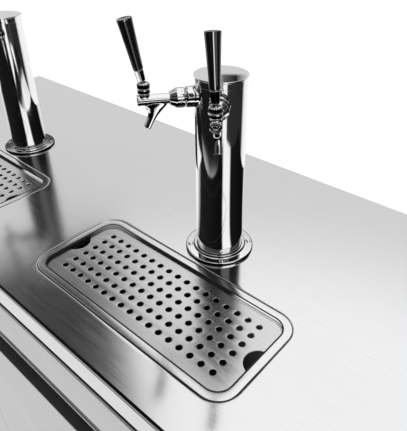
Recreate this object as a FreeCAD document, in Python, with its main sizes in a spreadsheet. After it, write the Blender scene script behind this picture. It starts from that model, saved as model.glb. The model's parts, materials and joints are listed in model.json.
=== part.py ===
"""Kegerator: a two-door direct-draw beer cooler with two draft towers, as a parametric document.

Millimetres. +Z is up, +X is the user's right when facing the doors, -Y is the front.
The origin is on the floor, under the middle of the worktop.
"""
import FreeCAD, Part
import math
import os

import Sketcher

Vector = FreeCAD.Vector
Rotation = FreeCAD.Rotation
Placement = FreeCAD.Placement

# Driving dimensions: name, number (mm unless the note says otherwise), note.
SIZES = (
    ("wide", 1500, "worktop, side to side"),
    ("deep", 610, "worktop, front to back"),
    ("high", 940, "floor to worktop"),
    ("gauge", 1.5, "worktop sheet"),
    ("skin", 1.2, "cabinet, door and tray sheet"),
    ("turn_down", 38.5, "worktop edge, folded down"),
    ("edge_round", 2, "radius of the worktop and door folds"),
    ("leg_high", 100, "floor to cabinet"),
    ("leg_rad", 24, "leg tube"),
    ("wall", 45, "insulated wall"),
    ("side_inset", 3, "cabinet side behind the worktop side"),
    ("back_inset", 5, "cabinet back behind the worktop back"),
    ("machine_wide", 290, "machine compartment, from the worktop's right side"),
    ("slack", 0.2, "gap between loose neighbours"),
    ("front_inset", 2, "door face behind the worktop's front edge"),
    ("door_thick", 48, "door without its gasket"),
    ("gasket_gap", 8.5, "door back to cabinet front"),
    ("gasket_wide", 12, "gasket strip"),
    ("gasket_in", 14, "gasket strip from the door's edge"),
    ("door_drop", 19, "gap from worktop fold to door top"),
    ("door_lift", 15, "gap from cabinet floor to door bottom"),
    ("door_gap", 3, "half the gap between the doors"),
    ("panel_gap", 6, "gap from door to grille panel"),
    ("pivot_in", 11, "hinge pin from the door's side and face"),
    ("pin_rad", 4, "hinge pin"),
    ("fit", 0.05, "radial running clearance"),
    ("band_tall", 83.5, "steel band above the grip channel"),
    ("grip_tall", 86.5, "grip channel"),
    ("grip_deep", 32, "grip channel"),
    ("grip_side", 10, "grip channel from the door's side"),
    ("lip_tall", 13, "grip channel's upper lip"),
    ("trim_tall", 3, "bright bead under the lip"),
    ("tower_apart", 600, "tower to tower"),
    ("tower_rad", 38.1, "tower column"),
    ("tower_tall", 300, "worktop to cap top"),
    ("line_hole", 30, "radius of the hole under a tower"),
    ("flange_rad", 57, "tower base flange"),
    ("flange_thick", 5.5, "tower base flange"),
    ("screw_circle", 49.5, "radius of the flange screw circle"),
    ("screw_rad", 3, "flange screw hole"),
    ("cap_skirt", 12, "tower cap"),
    ("tap_angle", 37, "degrees, tap from straight ahead"),
    ("tap_drop", 30, "cap top to tap axis"),
    ("shank_rad", 11.1, "tap shank"),
    ("barrel_rad", 7.4, "tap body"),
    ("pivot_out", 109, "tower axis to tap lever pivot"),
    ("pivot_up", 18.5, "tap axis to tap lever pivot"),
    ("lean_shut", -8, "degrees outwards from upright, lever of a shut tap"),
    ("lean_open", 11, "degrees outwards from upright, lever of an open tap"),
    ("tap_stroke", 6.07, "shaft travel from shut to open"),
    ("tap_roll", 3, "degrees, rightmost tap as tightened, about its own axis"),
    ("grip_long", 66.5, "tap handle"),
    ("hole_pitch", 20, "drip grate holes"),
    ("hole_rad", 5, "drip grate holes"),
    ("holes_across", 17, "count"),
    ("holes_deep", 6, "count"),
    ("grate_x", 192, "half length of the drip grate"),
    ("grate_y", 74, "half width of the drip grate"),
    ("grate_sink", 4.5, "grate top below the worktop"),
    ("tray_rim", 11.5, "tray rim beyond the grate"),
    ("tray_groove", 3.5, "groove between tray rim and worktop"),
    ("tray_deep", 28, "tray floor below the worktop"),
    ("tray_ahead", 152, "tray centre in front of the tower axis"),
    ("drain_side", 60, "tray centre to drain, sideways"),
    ("drain_back", 48, "tray centre to drain, backwards"),
    ("drain_rad", 8, "drain hose"),
    ("keg_left", -450, "keg bay centre"),
    ("keg_right", 130, "keg bay centre"),
    ("keg_tall", 592, "keg a bay takes"),
    ("rest_rad", 200, "raised round rest under a keg"),
    ("rest_high", 1.5, "raised round rest under a keg"),
    ("beer_rad", 4.5, "beer line"),
    ("gas_rad", 4, "gas line"),
    ("riser", 9, "beer line inside the tower, from the axis"),
    ("bottle_x", -160, "gas bottle centre"),
    ("bottle_y", 150, "gas bottle centre"),
    ("bottle_rad", 66.5, "gas bottle"),
    ("bottle_tall", 390, "gas bottle to its shoulder top"),
    ("fan_rad", 80, "condenser fan"),
    ("cold_fan_rad", 52, "evaporator fan"),
)

doc = FreeCAD.newDocument("Kegerator")
sheet = doc.addObject("Spreadsheet::Sheet", "Sizes")
for row, (alias, number, note) in enumerate(SIZES, start=1):
    sheet.set(f"A{row}", note)
    sheet.set(f"B{row}", str(number))
    sheet.setAlias(f"B{row}", alias)
doc.recompute()


class Size:
    """A length that knows both its number now and its formula over the sheet."""

    def __init__(self, text, number):
        self.text = text
        self.number = number

    def combine(self, other, sign, number):
        other_text = other.text if isinstance(other, Size) else repr(float(other))
        return Size(f"({self.text} {sign} {other_text})", number)

    def __add__(self, other):
        return self.combine(other, "+", self.number + plain(other))

    def __sub__(self, other):
        return self.combine(other, "-", self.number - plain(other))

    def __mul__(self, other):
        return self.combine(other, "*", self.number * plain(other))

    def __truediv__(self, other):
        return self.combine(other, "/", self.number / plain(other))

    def __neg__(self):
        return Size(f"(0 - {self.text})", -self.number)

    def __radd__(self, other):
        return Size(repr(float(other)), float(other)) + self

    def __rsub__(self, other):
        return Size(repr(float(other)), float(other)) - self

    __rmul__ = __mul__


def plain(value):
    return value.number if isinstance(value, Size) else float(value)


class Sheet:
    """Every driving dimension of the sheet, by its name."""


S = Sheet()
for alias, number, note in SIZES:
    setattr(S, alias, Size(f"Sizes.{alias}", float(sheet.get(alias))))

NODES = []


# ---------------------------------------------------------------- building blocks

def bind(thing, path, value):
    """Bind a property to a sheet formula, or set it when the value is a plain number."""
    thing.setExpression(path, value.text if isinstance(value, Size) else repr(float(value)))


def node(label, thing):
    """Make a finished object one of the model's pieces."""
    thing.Label = label
    NODES.append(thing)
    return thing


def place(thing, x=0, y=0, z=0):
    for letter, value in zip("xyz", (x, y, z)):
        bind(thing, f"Placement.Base.{letter}", value)
    return thing


def turn(thing, axis, angle):
    """Turn an object about an axis through its own origin, by degrees."""
    thing.Placement = Placement(thing.Placement.Base, Rotation(Vector(*axis), plain(angle)))
    if isinstance(angle, Size):
        bind(thing, "Placement.Rotation.Angle", angle)
    return thing


def box(x0, x1, y0, y1, z0, z1):
    solid = doc.addObject("Part::Box", "Block")
    bind(solid, "Length", x1 - x0)
    bind(solid, "Width", y1 - y0)
    bind(solid, "Height", z1 - z0)
    return place(solid, x0, y0, z0)


def rod(radius, length, x=0, y=0, z=0, along="z"):
    """A cylinder that starts at a point and runs along one axis."""
    solid = doc.addObject("Part::Cylinder", "Round")
    bind(solid, "Radius", radius)
    bind(solid, "Height", length)
    if along == "x":
        turn(solid, (0, 1, 0), 90)
    if along == "y":
        turn(solid, (1, 0, 0), -90)
    return place(solid, x, y, z)


def slab(half_x, half_y, corner, x, y, z0, z1):
    """A flat block with round upright corners, centred on a point."""
    block = box(x - half_x, x + half_x, y - half_y, y + half_y, z0, z1)
    doc.recompute()
    rounded = doc.addObject("Part::Fillet", "Slab")
    rounded.Base = block
    upright = [
        index for index, edge in enumerate(block.Shape.Edges, start=1)
        if abs(edge.tangentAt(0).z) > 0.9
    ]
    rounded.Edges = [(index, plain(corner), plain(corner)) for index in upright]
    return rounded


def fuse(*parts):
    joined = doc.addObject("Part::MultiFuse", "Joined")
    joined.Shapes = list(parts)
    return joined


def cut(base, *tools):
    result = doc.addObject("Part::Cut", "Cut")
    result.Base = base
    result.Tool = tools[0] if len(tools) == 1 else group(*tools)
    return result


def group(*parts):
    bundle = doc.addObject("Part::Compound", "Group")
    bundle.Links = list(parts)
    return bundle


def copy_at(source, x=0, y=0, z=0, spin=0):
    """The same piece again, spun about +Z by some degrees and moved."""
    link = doc.addObject("App::Link", "Again")
    link.LinkedObject = source
    link.LinkTransform = True
    turn(link, (0, 0, 1), spin)
    return place(link, x, y, z)


def mirror_x(source, plane_x):
    """The mirror image in an upright plane that faces +X."""
    image = doc.addObject("Part::Mirroring", "Image")
    image.Source = source
    image.Normal = Vector(1, 0, 0)
    bind(image, "Base.x", plane_x)
    return image


def origin_plane(body, role):
    return next(plane for plane in body.Origin.OriginFeatures if plane.Role == role)


def new_sketch(body, role):
    sketch = body.newObject("Sketcher::SketchObject", "Profile")
    sketch.AttachmentSupport = (origin_plane(body, role), [""])
    sketch.MapMode = "FlatFace"
    return sketch


def pin_point(sketch, index, vertex, across, up):
    """Hold a vertex of a sketch at a place given by two sheet formulas."""
    for kind, value, own_axis in (("DistanceX", across, -2), ("DistanceY", up, -1)):
        if abs(plain(value)) < 1e-9:
            sketch.addConstraint(Sketcher.Constraint("PointOnObject", index, vertex, own_axis))
            continue
        rule = Sketcher.Constraint(kind, -1, 1, index, vertex, plain(value))
        number = sketch.addConstraint(rule)
        if isinstance(value, Size):
            sketch.setExpression(f"Constraints[{number}]", value.text)


def outline(sketch, points):
    """Draw a closed outline of straight lines through points held by formulas."""
    count = len(points)
    for start in range(count):
        first = Vector(*(plain(value) for value in points[start]), 0)
        second = Vector(*(plain(value) for value in points[(start + 1) % count]), 0)
        sketch.addGeometry(Part.LineSegment(first, second), False)
    for line in range(count):
        sketch.addConstraint(Sketcher.Constraint("Coincident", line, 2, (line + 1) % count, 1))
    for line, (across, up) in enumerate(points):
        pin_point(sketch, line, 1, across, up)


def circle(sketch, across, up, radius):
    centre = Vector(plain(across), plain(up), 0)
    index = sketch.addGeometry(Part.Circle(centre, Vector(0, 0, 1), plain(radius)), False)
    number = sketch.addConstraint(Sketcher.Constraint("Radius", index, plain(radius)))
    if isinstance(radius, Size):
        sketch.setExpression(f"Constraints[{number}]", radius.text)
    pin_point(sketch, index, 3, across, up)


def turned(points, rounding=0):
    """A body of revolution about its own +Z, from (radius, height) points."""
    body = doc.addObject("PartDesign::Body", "Turned")
    sketch = new_sketch(body, "XZ_Plane")
    outline(sketch, points)
    spun = body.newObject("PartDesign::Revolution", "Spun")
    spun.Profile = sketch
    spun.ReferenceAxis = (sketch, ["V_Axis"])
    spun.Angle = 360
    doc.recompute()
    if rounding:
        soften = body.newObject("PartDesign::Fillet", "Softened")
        soften.Base = (spun, [""])
        soften.UseAllEdges = True
        soften.Radius = rounding
        doc.recompute()
    return body


def along_x(thing, x=0, y=0, z=0):
    """Lay a turned body down so that its own +Z points along +X."""
    return place(turn(thing, (0, 1, 0), 90), x, y, z)


def along_y(thing, x=0, y=0, z=0):
    """Lay a turned body down so that its own +Z points along +Y."""
    return place(turn(thing, (1, 0, 0), -90), x, y, z)


def extruded(points, thickness, role="XZ_Plane", both_ways=True):
    """A body padded from a straight-sided outline."""
    body = doc.addObject("PartDesign::Body", "Extruded")
    sketch = new_sketch(body, role)
    outline(sketch, points)
    pad = body.newObject("PartDesign::Pad", "Pad")
    pad.Profile = sketch
    pad.Midplane = both_ways
    bind(pad, "Length", thickness)
    return body


def hose(radius, points, bend):
    """A round hose through corner points, with every corner bent to one radius."""
    corners = [Vector(*(plain(value) for value in point)) for point in points]
    edges = []
    start = corners[0]
    for before, corner, after in zip(corners, corners[1:], corners[2:]):
        towards = (before - corner).normalize()
        away = (after - corner).normalize()
        half = towards.getAngle(away) / 2
        reach = bend / math.tan(half)
        middle = (towards + away).normalize()
        centre = corner + middle * (bend / math.sin(half))
        into = corner + towards * reach
        out_of = corner + away * reach
        edges.append(Part.makeLine(start, into))
        edges.append(Part.Arc(into, centre - middle * bend, out_of).toShape())
        start = out_of
    edges.append(Part.makeLine(start, corners[-1]))
    path = Part.Wire(edges)
    facing = (corners[1] - corners[0]).normalize()
    ring = Part.Wire(Part.makeCircle(plain(radius), corners[0], facing))
    thing = doc.addObject("Part::Feature", "Hose")
    thing.Shape = path.makePipeShell([ring], True, False)
    return thing


# ---------------------------------------------------------------- shared places

LEFT = -S.wide / 2 + S.side_inset
RIGHT = S.wide / 2 - S.side_inset
BACK = S.deep / 2 - S.back_inset
FACE = -S.deep / 2 + S.front_inset
DOOR_BACK = FACE + S.door_thick
FRONT = DOOR_BACK + S.gasket_gap
FLOOR = S.leg_high
DECK = S.high - S.turn_down
COLD_END = S.wide / 2 - S.machine_wide
DOOR_SPLIT = (LEFT + COLD_END) / 2
BULKHEAD = COLD_END - 2
DOOR_TOP = DECK - S.door_drop
DOOR_BASE = FLOOR + S.door_lift
GRIP_TOP = DOOR_TOP - S.band_tall
GRIP_BASE = GRIP_TOP - S.grip_tall

BAY_LEFT = LEFT + S.wall
BAY_RIGHT = BULKHEAD - S.wall
BAY_BACK = BACK - S.wall
BAY_FLOOR = FLOOR + S.wall
BAY_TOP = DECK - S.wall

TOWER_XS = (-S.tower_apart / 2, S.tower_apart / 2)
TOWER_TOP = S.high + S.tower_tall
TAP_LEVEL = TOWER_TOP - S.tap_drop
TRAY_Y = -S.tray_ahead
GRATE_TOP = S.high - S.grate_sink
DRAIN_Y = TRAY_Y + S.drain_back
RIM_X = S.grate_x + S.tray_rim
RIM_Y = S.grate_y + S.tray_rim + 0.5
GRATE_CORNER = 20
PIPE_Y = BAY_BACK - 40
PIPE_LEVELS = (470, 500)
SUCTION_Z = 570
LIQUID_Z = 590
KEG_TOP = BAY_FLOOR + S.gauge + S.rest_high + S.keg_tall + 2.5
KEG_Y = -S.riser * math.cos(math.radians(plain(S.tap_angle)))
BEER_LEVELS = (KEG_TOP + 96, KEG_TOP + 84)


def through_deck(radius_over_line, drain_radius, z0, z1):
    """The round holes under both towers and both drains, between two heights."""
    holes = []
    for x in TOWER_XS:
        holes.append(rod(S.line_hole + radius_over_line, z1 - z0, x, 0, z0))
        holes.append(rod(drain_radius, z1 - z0, x + S.drain_side, DRAIN_Y, z0))
    return holes


# ---------------------------------------------------------------- cabinet

def cabinet_shell():
    outer = box(LEFT, RIGHT, FRONT, BACK, FLOOR, DECK)
    cold = box(LEFT + S.skin, BULKHEAD, FRONT, BACK - S.skin, FLOOR + S.skin, DECK)
    machine = box(BULKHEAD + S.skin, RIGHT - S.skin, FRONT, BACK - S.skin, FLOOR + S.skin, DECK)
    rear = box(BULKHEAD + 30, RIGHT - 30, BACK - 5, BACK + 1, FLOOR + 40, DECK - 60)
    vents = []
    for step in range(12):
        z = FLOOR + 120 + 22 * step
        vents.append(box(RIGHT - 3, RIGHT + 1, FRONT + 120, BACK - 120, z, z + 8))
    pipes = [rod(14, 20, BULKHEAD - 5, PIPE_Y, z, "x") for z in PIPE_LEVELS]
    drains = [
        rod(S.drain_rad + 0.5, 20, x + S.drain_side, BAY_BACK - 20, FLOOR - 5) for x in TOWER_XS
    ]
    node("cabinet_shell", cut(outer, cold, machine, rear, *vents, *pipes, *drains))


def cabinet_insulation():
    block = box(LEFT + S.skin, BULKHEAD, FRONT + S.gauge, BACK - S.skin, FLOOR + S.skin, DECK)
    bay = box(BAY_LEFT, BAY_RIGHT, FRONT - 1, BAY_BACK, BAY_FLOOR, BAY_TOP)
    pipes = [rod(14, S.wall + 20, BAY_RIGHT - 10, PIPE_Y, z, "x") for z in PIPE_LEVELS]
    drains = [
        rod(S.drain_rad + 0.5, S.wall + 10, x + S.drain_side, BAY_BACK - 20, FLOOR - 5)
        for x in TOWER_XS
    ]
    ceiling = through_deck(0, S.drain_rad + 4, BAY_TOP - 5, DECK + 5)
    node("cabinet_insulation", cut(block, bay, *pipes, *drains, *ceiling))


def inner_liner():
    """The bright inner box, its front flange, the post between the doors and the keg rests."""
    flange = box(LEFT + S.skin, BULKHEAD, FRONT, FRONT + S.gauge, FLOOR + S.skin, DECK)
    tub = box(BAY_LEFT, BAY_RIGHT, FRONT, BAY_BACK, BAY_FLOOR, BAY_TOP)
    hollow = box(
        BAY_LEFT + S.gauge, BAY_RIGHT - S.gauge, FRONT - 1, BAY_BACK - S.gauge,
        BAY_FLOOR + S.gauge, BAY_TOP - S.gauge,
    )
    post = box(DOOR_SPLIT - 25, DOOR_SPLIT + 25, FRONT, FRONT + 30, BAY_FLOOR, BAY_TOP)
    pipes = [rod(14, 20, BAY_RIGHT - 10, PIPE_Y, z, "x") for z in PIPE_LEVELS]
    drains = [
        rod(S.drain_rad + 0.5, 20, x + S.drain_side, BAY_BACK - 20, BAY_FLOOR - 5)
        for x in TOWER_XS
    ]
    ceiling = through_deck(0, S.drain_rad + 4, BAY_TOP - 10, BAY_TOP + 5)
    lined = cut(fuse(flange, tub), hollow, *pipes, *drains, *ceiling)
    rests = [
        rod(S.rest_rad, S.gauge + S.rest_high, x, KEG_Y, BAY_FLOOR)
        for x in (S.keg_left, S.keg_right)
    ]
    node("inner_liner", fuse(lined, post, *rests))


def legs():
    """Tube legs in two rows of four, each with a mounting plate and a wide levelling foot."""
    leg = turned([
        (0, 0), (S.leg_rad - 1, 0), (S.leg_rad + 1, 2), (S.leg_rad + 1, 9), (S.leg_rad - 8, 12),
        (S.leg_rad - 8, 24), (S.leg_rad, 26), (S.leg_rad, FLOOR - 4), (S.leg_rad + 14, FLOOR - 4),
        (S.leg_rad + 14, FLOOR), (0, FLOOR),
    ])
    spots = []
    for x in (LEFT + 60, DOOR_SPLIT, BULKHEAD + 30, RIGHT - 60):
        for y in (FRONT + 50, BACK - 50):
            spots.append(copy_at(leg, x, y))
    node("legs", group(*spots))


# ---------------------------------------------------------------- worktop and trays

def worktop():
    """A folded steel sheet with a sunk ledge round each tray and a hole under each tower."""
    sheet_block = box(-S.wide / 2, S.wide / 2, -S.deep / 2, S.deep / 2, DECK, S.high)
    doc.recompute()
    folded = doc.addObject("Part::Fillet", "Folds")
    folded.Base = sheet_block
    fold = plain(S.edge_round)
    top = plain(S.high)
    low = plain(DECK)
    folded.Edges = [
        (index, fold, fold) for index, edge in enumerate(sheet_block.Shape.Edges, start=1)
        if edge.BoundBox.ZMin > top - 1 or edge.BoundBox.ZLength > top - low - 1
    ]
    under = box(
        -S.wide / 2 + S.gauge, S.wide / 2 - S.gauge, -S.deep / 2 + S.gauge, S.deep / 2 - S.gauge,
        DECK - 1, S.high - S.gauge,
    )
    hollow = cut(folded, under)
    ledges = []
    recesses = []
    for x in TOWER_XS:
        half_x = RIM_X + S.tray_groove
        half_y = RIM_Y + S.tray_groove
        corner = GRATE_CORNER + 17
        ledges.append(slab(half_x + S.gauge, half_y + S.gauge, corner + 1.5, x, TRAY_Y,
                           S.high - 5, S.high))
        recesses.append(slab(half_x, half_y, corner, x, TRAY_Y, S.high - 5 + S.gauge, S.high + 1))
        recesses.append(slab(RIM_X - 4.5, RIM_Y - 4.5, corner - 8, x, TRAY_Y,
                             S.high - 6, S.high + 1))
        recesses.append(rod(S.line_hole, 20, x, 0, S.high - 10))
        recesses.extend(screw_holes(x, 0, S.high - 10))
    node("worktop", cut(fuse(hollow, *ledges), *recesses))


def screw_spots():
    """The four places on a flange's screw circle."""
    spots = []
    for quarter in range(4):
        angle = math.radians(45 + 90 * quarter)
        spots.append((S.screw_circle * math.cos(angle), S.screw_circle * math.sin(angle)))
    return spots


def screw_holes(x, wider, z0):
    return [rod(S.screw_rad + wider, 20, x + spot_x, spot_y, z0) for spot_x, spot_y in screw_spots()]


def worktop_core():
    """The stiff board under the sheet, cleared for trays, beer lines and drains."""
    inset = S.gauge + S.slack
    board = box(-S.wide / 2 + inset, S.wide / 2 - inset, -S.deep / 2 + inset, S.deep / 2 - inset,
                DECK + 0.1, S.high - S.gauge - 0.1)
    pockets = []
    for x in TOWER_XS:
        pockets.append(slab(RIM_X + 6, RIM_Y + 6, GRATE_CORNER + 20, x, TRAY_Y,
                            S.high - S.tray_deep - 4, S.high))
        pockets.extend(screw_holes(x, S.slack, S.high - 8))
    holes = through_deck(0, S.drain_rad + 4, DECK - 5, S.high)
    node("worktop_core", cut(board, *pockets, *holes))


def drip_trays():
    """Deep trays with a flat rim flush with the worktop and a step that holds the grate."""
    gap = 1.3
    rim = slab(RIM_X, RIM_Y, GRATE_CORNER + 13, 0, 0, S.high - 3.5, S.high)
    under_rim = cut(
        slab(RIM_X - S.skin, RIM_Y - S.skin, GRATE_CORNER + 12, 0, 0,
             S.high - 4, S.high - S.skin),
        slab(S.grate_x + gap, S.grate_y + gap, GRATE_CORNER + 1, 0, 0, S.high - 5, S.high),
    )
    upper = slab(S.grate_x + gap + S.skin, S.grate_y + gap + S.skin, GRATE_CORNER + 2.5, 0, 0,
                 GRATE_TOP - 1.5 - S.skin, S.high - 1)
    lower = slab(S.grate_x - 3, S.grate_y - 3, GRATE_CORNER - 3, 0, 0,
                 S.high - S.tray_deep - S.skin, GRATE_TOP - 1.5)
    spigot = rod(S.drain_rad - 1, 20, S.drain_side, S.drain_back, S.high - S.tray_deep - 20)
    solid = fuse(cut(rim, under_rim), upper, lower, spigot)
    mouth = slab(S.grate_x + gap, S.grate_y + gap, GRATE_CORNER + 1.3, 0, 0,
                 GRATE_TOP - 1.5, S.high + 1)
    bowl = slab(S.grate_x - 3 - S.skin, S.grate_y - 3 - S.skin, GRATE_CORNER - 4.2, 0, 0,
                S.high - S.tray_deep, S.high)
    drain = rod(S.drain_rad - 2.5, 40, S.drain_side, S.drain_back, S.high - S.tray_deep - 30)
    tray = cut(solid, mouth, bowl, drain)
    node("drip_trays", group(*(copy_at(tray, x, TRAY_Y) for x in TOWER_XS)))


def grates():
    """Perforated plates with a finger notch at each short end."""
    body = doc.addObject("PartDesign::Body", "Grate")
    sketch = new_sketch(body, "XY_Plane")
    outline(sketch, [(-S.grate_x, -S.grate_y), (S.grate_x, -S.grate_y), (S.grate_x, S.grate_y),
                     (-S.grate_x, S.grate_y)])
    plate = body.newObject("PartDesign::Pad", "Plate")
    plate.Profile = sketch
    bind(plate, "Length", S.gauge)
    doc.recompute()

    corners = body.newObject("PartDesign::Fillet", "Corners")
    corners.Base = (plate, upright_edges(plate, plain(S.grate_x) - 1))
    corners.Radius = GRATE_CORNER
    notch_sketch = new_sketch(body, "XY_Plane")
    notch_rad = 21.5
    for side in (-1, 1):
        circle(notch_sketch, side * (S.grate_x + 4.5), 0, notch_rad)
    notches = body.newObject("PartDesign::Pocket", "Notches")
    notches.Profile = notch_sketch
    notches.Type = "ThroughAll"
    notches.Midplane = True
    doc.recompute()
    mouths = body.newObject("PartDesign::Fillet", "Mouths")
    mouths.Base = (notches, [
        name for name in upright_edges(notches, plain(S.grate_x) - 1)
        if abs(named_edge(notches, name).CenterOfMass.y) < notch_rad + 1
    ])
    mouths.Radius = 7

    hole_sketch = new_sketch(body, "XY_Plane")
    circle(hole_sketch, -(S.holes_across - 1) / 2 * S.hole_pitch,
           -(S.holes_deep - 1) / 2 * S.hole_pitch, S.hole_rad)
    hole = body.newObject("PartDesign::Pocket", "DripHole")
    hole.Profile = hole_sketch
    hole.Type = "ThroughAll"
    hole.Midplane = True
    doc.recompute()
    rows = body.newObject("PartDesign::LinearPattern", "DripHoles")
    rows.Originals = [hole]
    rows.Direction = (hole_sketch, ["H_Axis"])
    rows.Direction2 = (hole_sketch, ["V_Axis"])
    bind(rows, "Length", (S.holes_across - 1) * S.hole_pitch)
    bind(rows, "Length2", (S.holes_deep - 1) * S.hole_pitch)
    bind(rows, "Occurrences", S.holes_across)
    bind(rows, "Occurrences2", S.holes_deep)
    body.Tip = rows
    for side, x in zip(("left", "right"), TOWER_XS):
        node(f"{side}_grate", group(copy_at(body, x, TRAY_Y, GRATE_TOP - S.gauge)))


def named_edge(feature, name):
    return feature.Shape.Edges[int(name[len("Edge"):]) - 1]


def upright_edges(feature, beyond):
    """Names of the upright straight edges further than a distance from the YZ plane."""
    names = []
    for index, edge in enumerate(feature.Shape.Edges, start=1):
        upright = edge.BoundBox.ZLength > 0.5 and edge.BoundBox.XLength < 1e-6
        if upright and abs(edge.CenterOfMass.x) > beyond:
            names.append(f"Edge{index}")
    return names


def drain_hoses():
    """From each tray's spigot, back under the ceiling, down the rear wall and out of the floor."""
    for_both = []
    for x in TOWER_XS:
        side = x + S.drain_side
        for_both.append(hose(S.drain_rad, [
            (side, DRAIN_Y, S.high - S.tray_deep - 20.1), (side, DRAIN_Y, BAY_TOP - 18),
            (side, BAY_BACK - 20, BAY_TOP - 18), (side, BAY_BACK - 20, FLOOR - 20),
        ], 18))
    node("drain_hoses", group(*for_both))


# ---------------------------------------------------------------- doors

def door_skin():
    """Folded steel pan with a long window for the grip channel, and the bead under its lip."""
    x0 = LEFT
    x1 = DOOR_SPLIT - S.door_gap
    block = box(x0, x1, FACE, DOOR_BACK, DOOR_BASE, DOOR_TOP)
    doc.recompute()
    folded = doc.addObject("Part::Fillet", "DoorFolds")
    folded.Base = block
    fold = plain(S.edge_round)
    face = plain(FACE)
    folded.Edges = [
        (index, fold, fold) for index, edge in enumerate(block.Shape.Edges, start=1)
        if edge.BoundBox.YMax < face + 1
    ]
    inside = box(x0 + S.skin, x1 - S.skin, FACE + S.skin, DOOR_BACK + 1,
                 DOOR_BASE + S.skin, DOOR_TOP - S.skin)
    window = box(x0 + S.grip_side, x1 - S.grip_side, FACE - 1, FACE + 5, GRIP_BASE, GRIP_TOP)
    pins = rod(S.pin_rad + S.fit, DOOR_TOP - DOOR_BASE + 20, x0 + S.pivot_in,
               FACE + S.pivot_in, DOOR_BASE - 10)
    pan = cut(folded, inside, window, pins)
    bead_top = GRIP_TOP - S.lip_tall - 1
    bead = box(x0 + S.grip_side + S.slack, x1 - S.grip_side - S.slack,
               FACE - 0.5, FACE + 3, bead_top - S.trim_tall, bead_top)
    return group(pan, bead)


def door_core():
    """Foam core with its white inner panel, grooved for the gasket and raised inside it."""
    x0 = LEFT + S.skin
    x1 = DOOR_SPLIT - S.door_gap - S.skin
    filling = box(x0, x1, FACE + S.skin, DOOR_BACK, DOOR_BASE + S.skin, DOOR_TOP - S.skin)
    raised_in = S.gasket_in + S.gasket_wide + 30
    raised = box(LEFT + raised_in, DOOR_SPLIT - S.door_gap - raised_in, DOOR_BACK - 1,
                 DOOR_BACK + 15, DOOR_BASE + raised_in, DOOR_TOP - raised_in)
    doc.recompute()
    pressed = doc.addObject("Part::Fillet", "Pressed")
    pressed.Base = raised
    back = plain(DOOR_BACK) + 14
    pressed.Edges = [
        (index, 8, 8) for index, edge in enumerate(raised.Shape.Edges, start=1)
        if edge.BoundBox.YMin > back
    ]
    channel = box(LEFT + S.grip_side, DOOR_SPLIT - S.door_gap - S.grip_side, FACE - 1,
                  FACE + S.grip_deep, GRIP_BASE, GRIP_TOP)
    pins = rod(S.pin_rad + S.fit, DOOR_TOP - DOOR_BASE + 20, LEFT + S.pivot_in,
               FACE + S.pivot_in, DOOR_BASE - 10)
    return cut(fuse(filling, pressed), channel, pins)


def door_gasket():
    """A magnetic gasket frame with a bellows groove along its middle."""
    x0 = LEFT + S.gasket_in
    x1 = DOOR_SPLIT - S.door_gap - S.gasket_in
    z0 = DOOR_BASE + S.gasket_in
    z1 = DOOR_TOP - S.gasket_in
    front = DOOR_BACK + 0.02
    back = FRONT - S.slack

    def frame(inset, width, y0, y1):
        return cut(
            box(x0 + inset, x1 - inset, y0, y1, z0 + inset, z1 - inset),
            box(x0 + inset + width, x1 - inset - width, y0 - 1, y1 + 1,
                z0 + inset + width, z1 - inset - width),
        )
    groove = frame(S.gasket_wide / 2 - 1.5, 3, back - 3, back + 1)
    return cut(frame(0, S.gasket_wide, front, back), groove)


def door_handle():
    """The black grip channel: a lip above to pull on, and room for fingers behind it."""
    wall = 3
    front = FACE + 0.3
    back = FACE + S.grip_deep - S.slack
    top = GRIP_TOP - S.slack
    base = GRIP_BASE + S.slack
    lip_base = GRIP_TOP - S.lip_tall
    section = extruded([
        (front, base), (back, base + 4), (back, top), (front, top), (front, lip_base),
        (front + wall, lip_base), (front + wall, top - wall), (back - wall, top - wall),
        (back - wall, base + 4 + wall), (front, base + wall),
    ], DOOR_SPLIT - S.door_gap - LEFT - 2 * S.grip_side - 2 * S.slack, "YZ_Plane")
    return place(section, (LEFT + DOOR_SPLIT - S.door_gap) / 2)


def doors():
    """The left door's pieces, and their mirror images as the right door's."""
    for name, piece in (("skin", door_skin()), ("core", door_core()), ("gasket", door_gasket()),
                        ("handle", door_handle())):
        node(f"left_door_{name}", piece)
        node(f"right_door_{name}", mirror_x(piece, DOOR_SPLIT))


def hinge_brackets():
    """Plates on the cabinet front, above and below each door, with the pins the doors turn on."""
    thick = 4
    pin_x = LEFT + S.pivot_in
    pin_y = FACE + S.pivot_in
    pin_long = S.skin + 14
    upper = DOOR_TOP + 2
    top = fuse(
        box(LEFT, LEFT + 32, FACE + 2, FRONT, upper, upper + thick),
        box(LEFT, LEFT + 32, FRONT - 3, FRONT, upper, DECK - 1),
        rod(S.pin_rad, pin_long, pin_x, pin_y, upper - pin_long),
        rod(S.pin_rad + 3, 1.5, pin_x, pin_y, upper - 1.5),
    )
    lower = DOOR_BASE - 2
    bottom = fuse(
        box(LEFT, LEFT + 32, FACE + 2, FRONT, lower - thick, lower),
        box(LEFT, LEFT + 32, FRONT - 3, FRONT, FLOOR + 1, lower),
        rod(S.pin_rad, pin_long, pin_x, pin_y, lower),
        rod(S.pin_rad + 3, 1.5, pin_x, pin_y, lower),
    )
    left = group(top, bottom)
    node("hinge_brackets", group(left, mirror_x(left, DOOR_SPLIT)))


# ---------------------------------------------------------------- machine compartment

PANEL_LEFT = COLD_END + S.panel_gap
PANEL_MID = (PANEL_LEFT + RIGHT) / 2
LOUVRES = 22
LOUVRE_PITCH = 24


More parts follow.
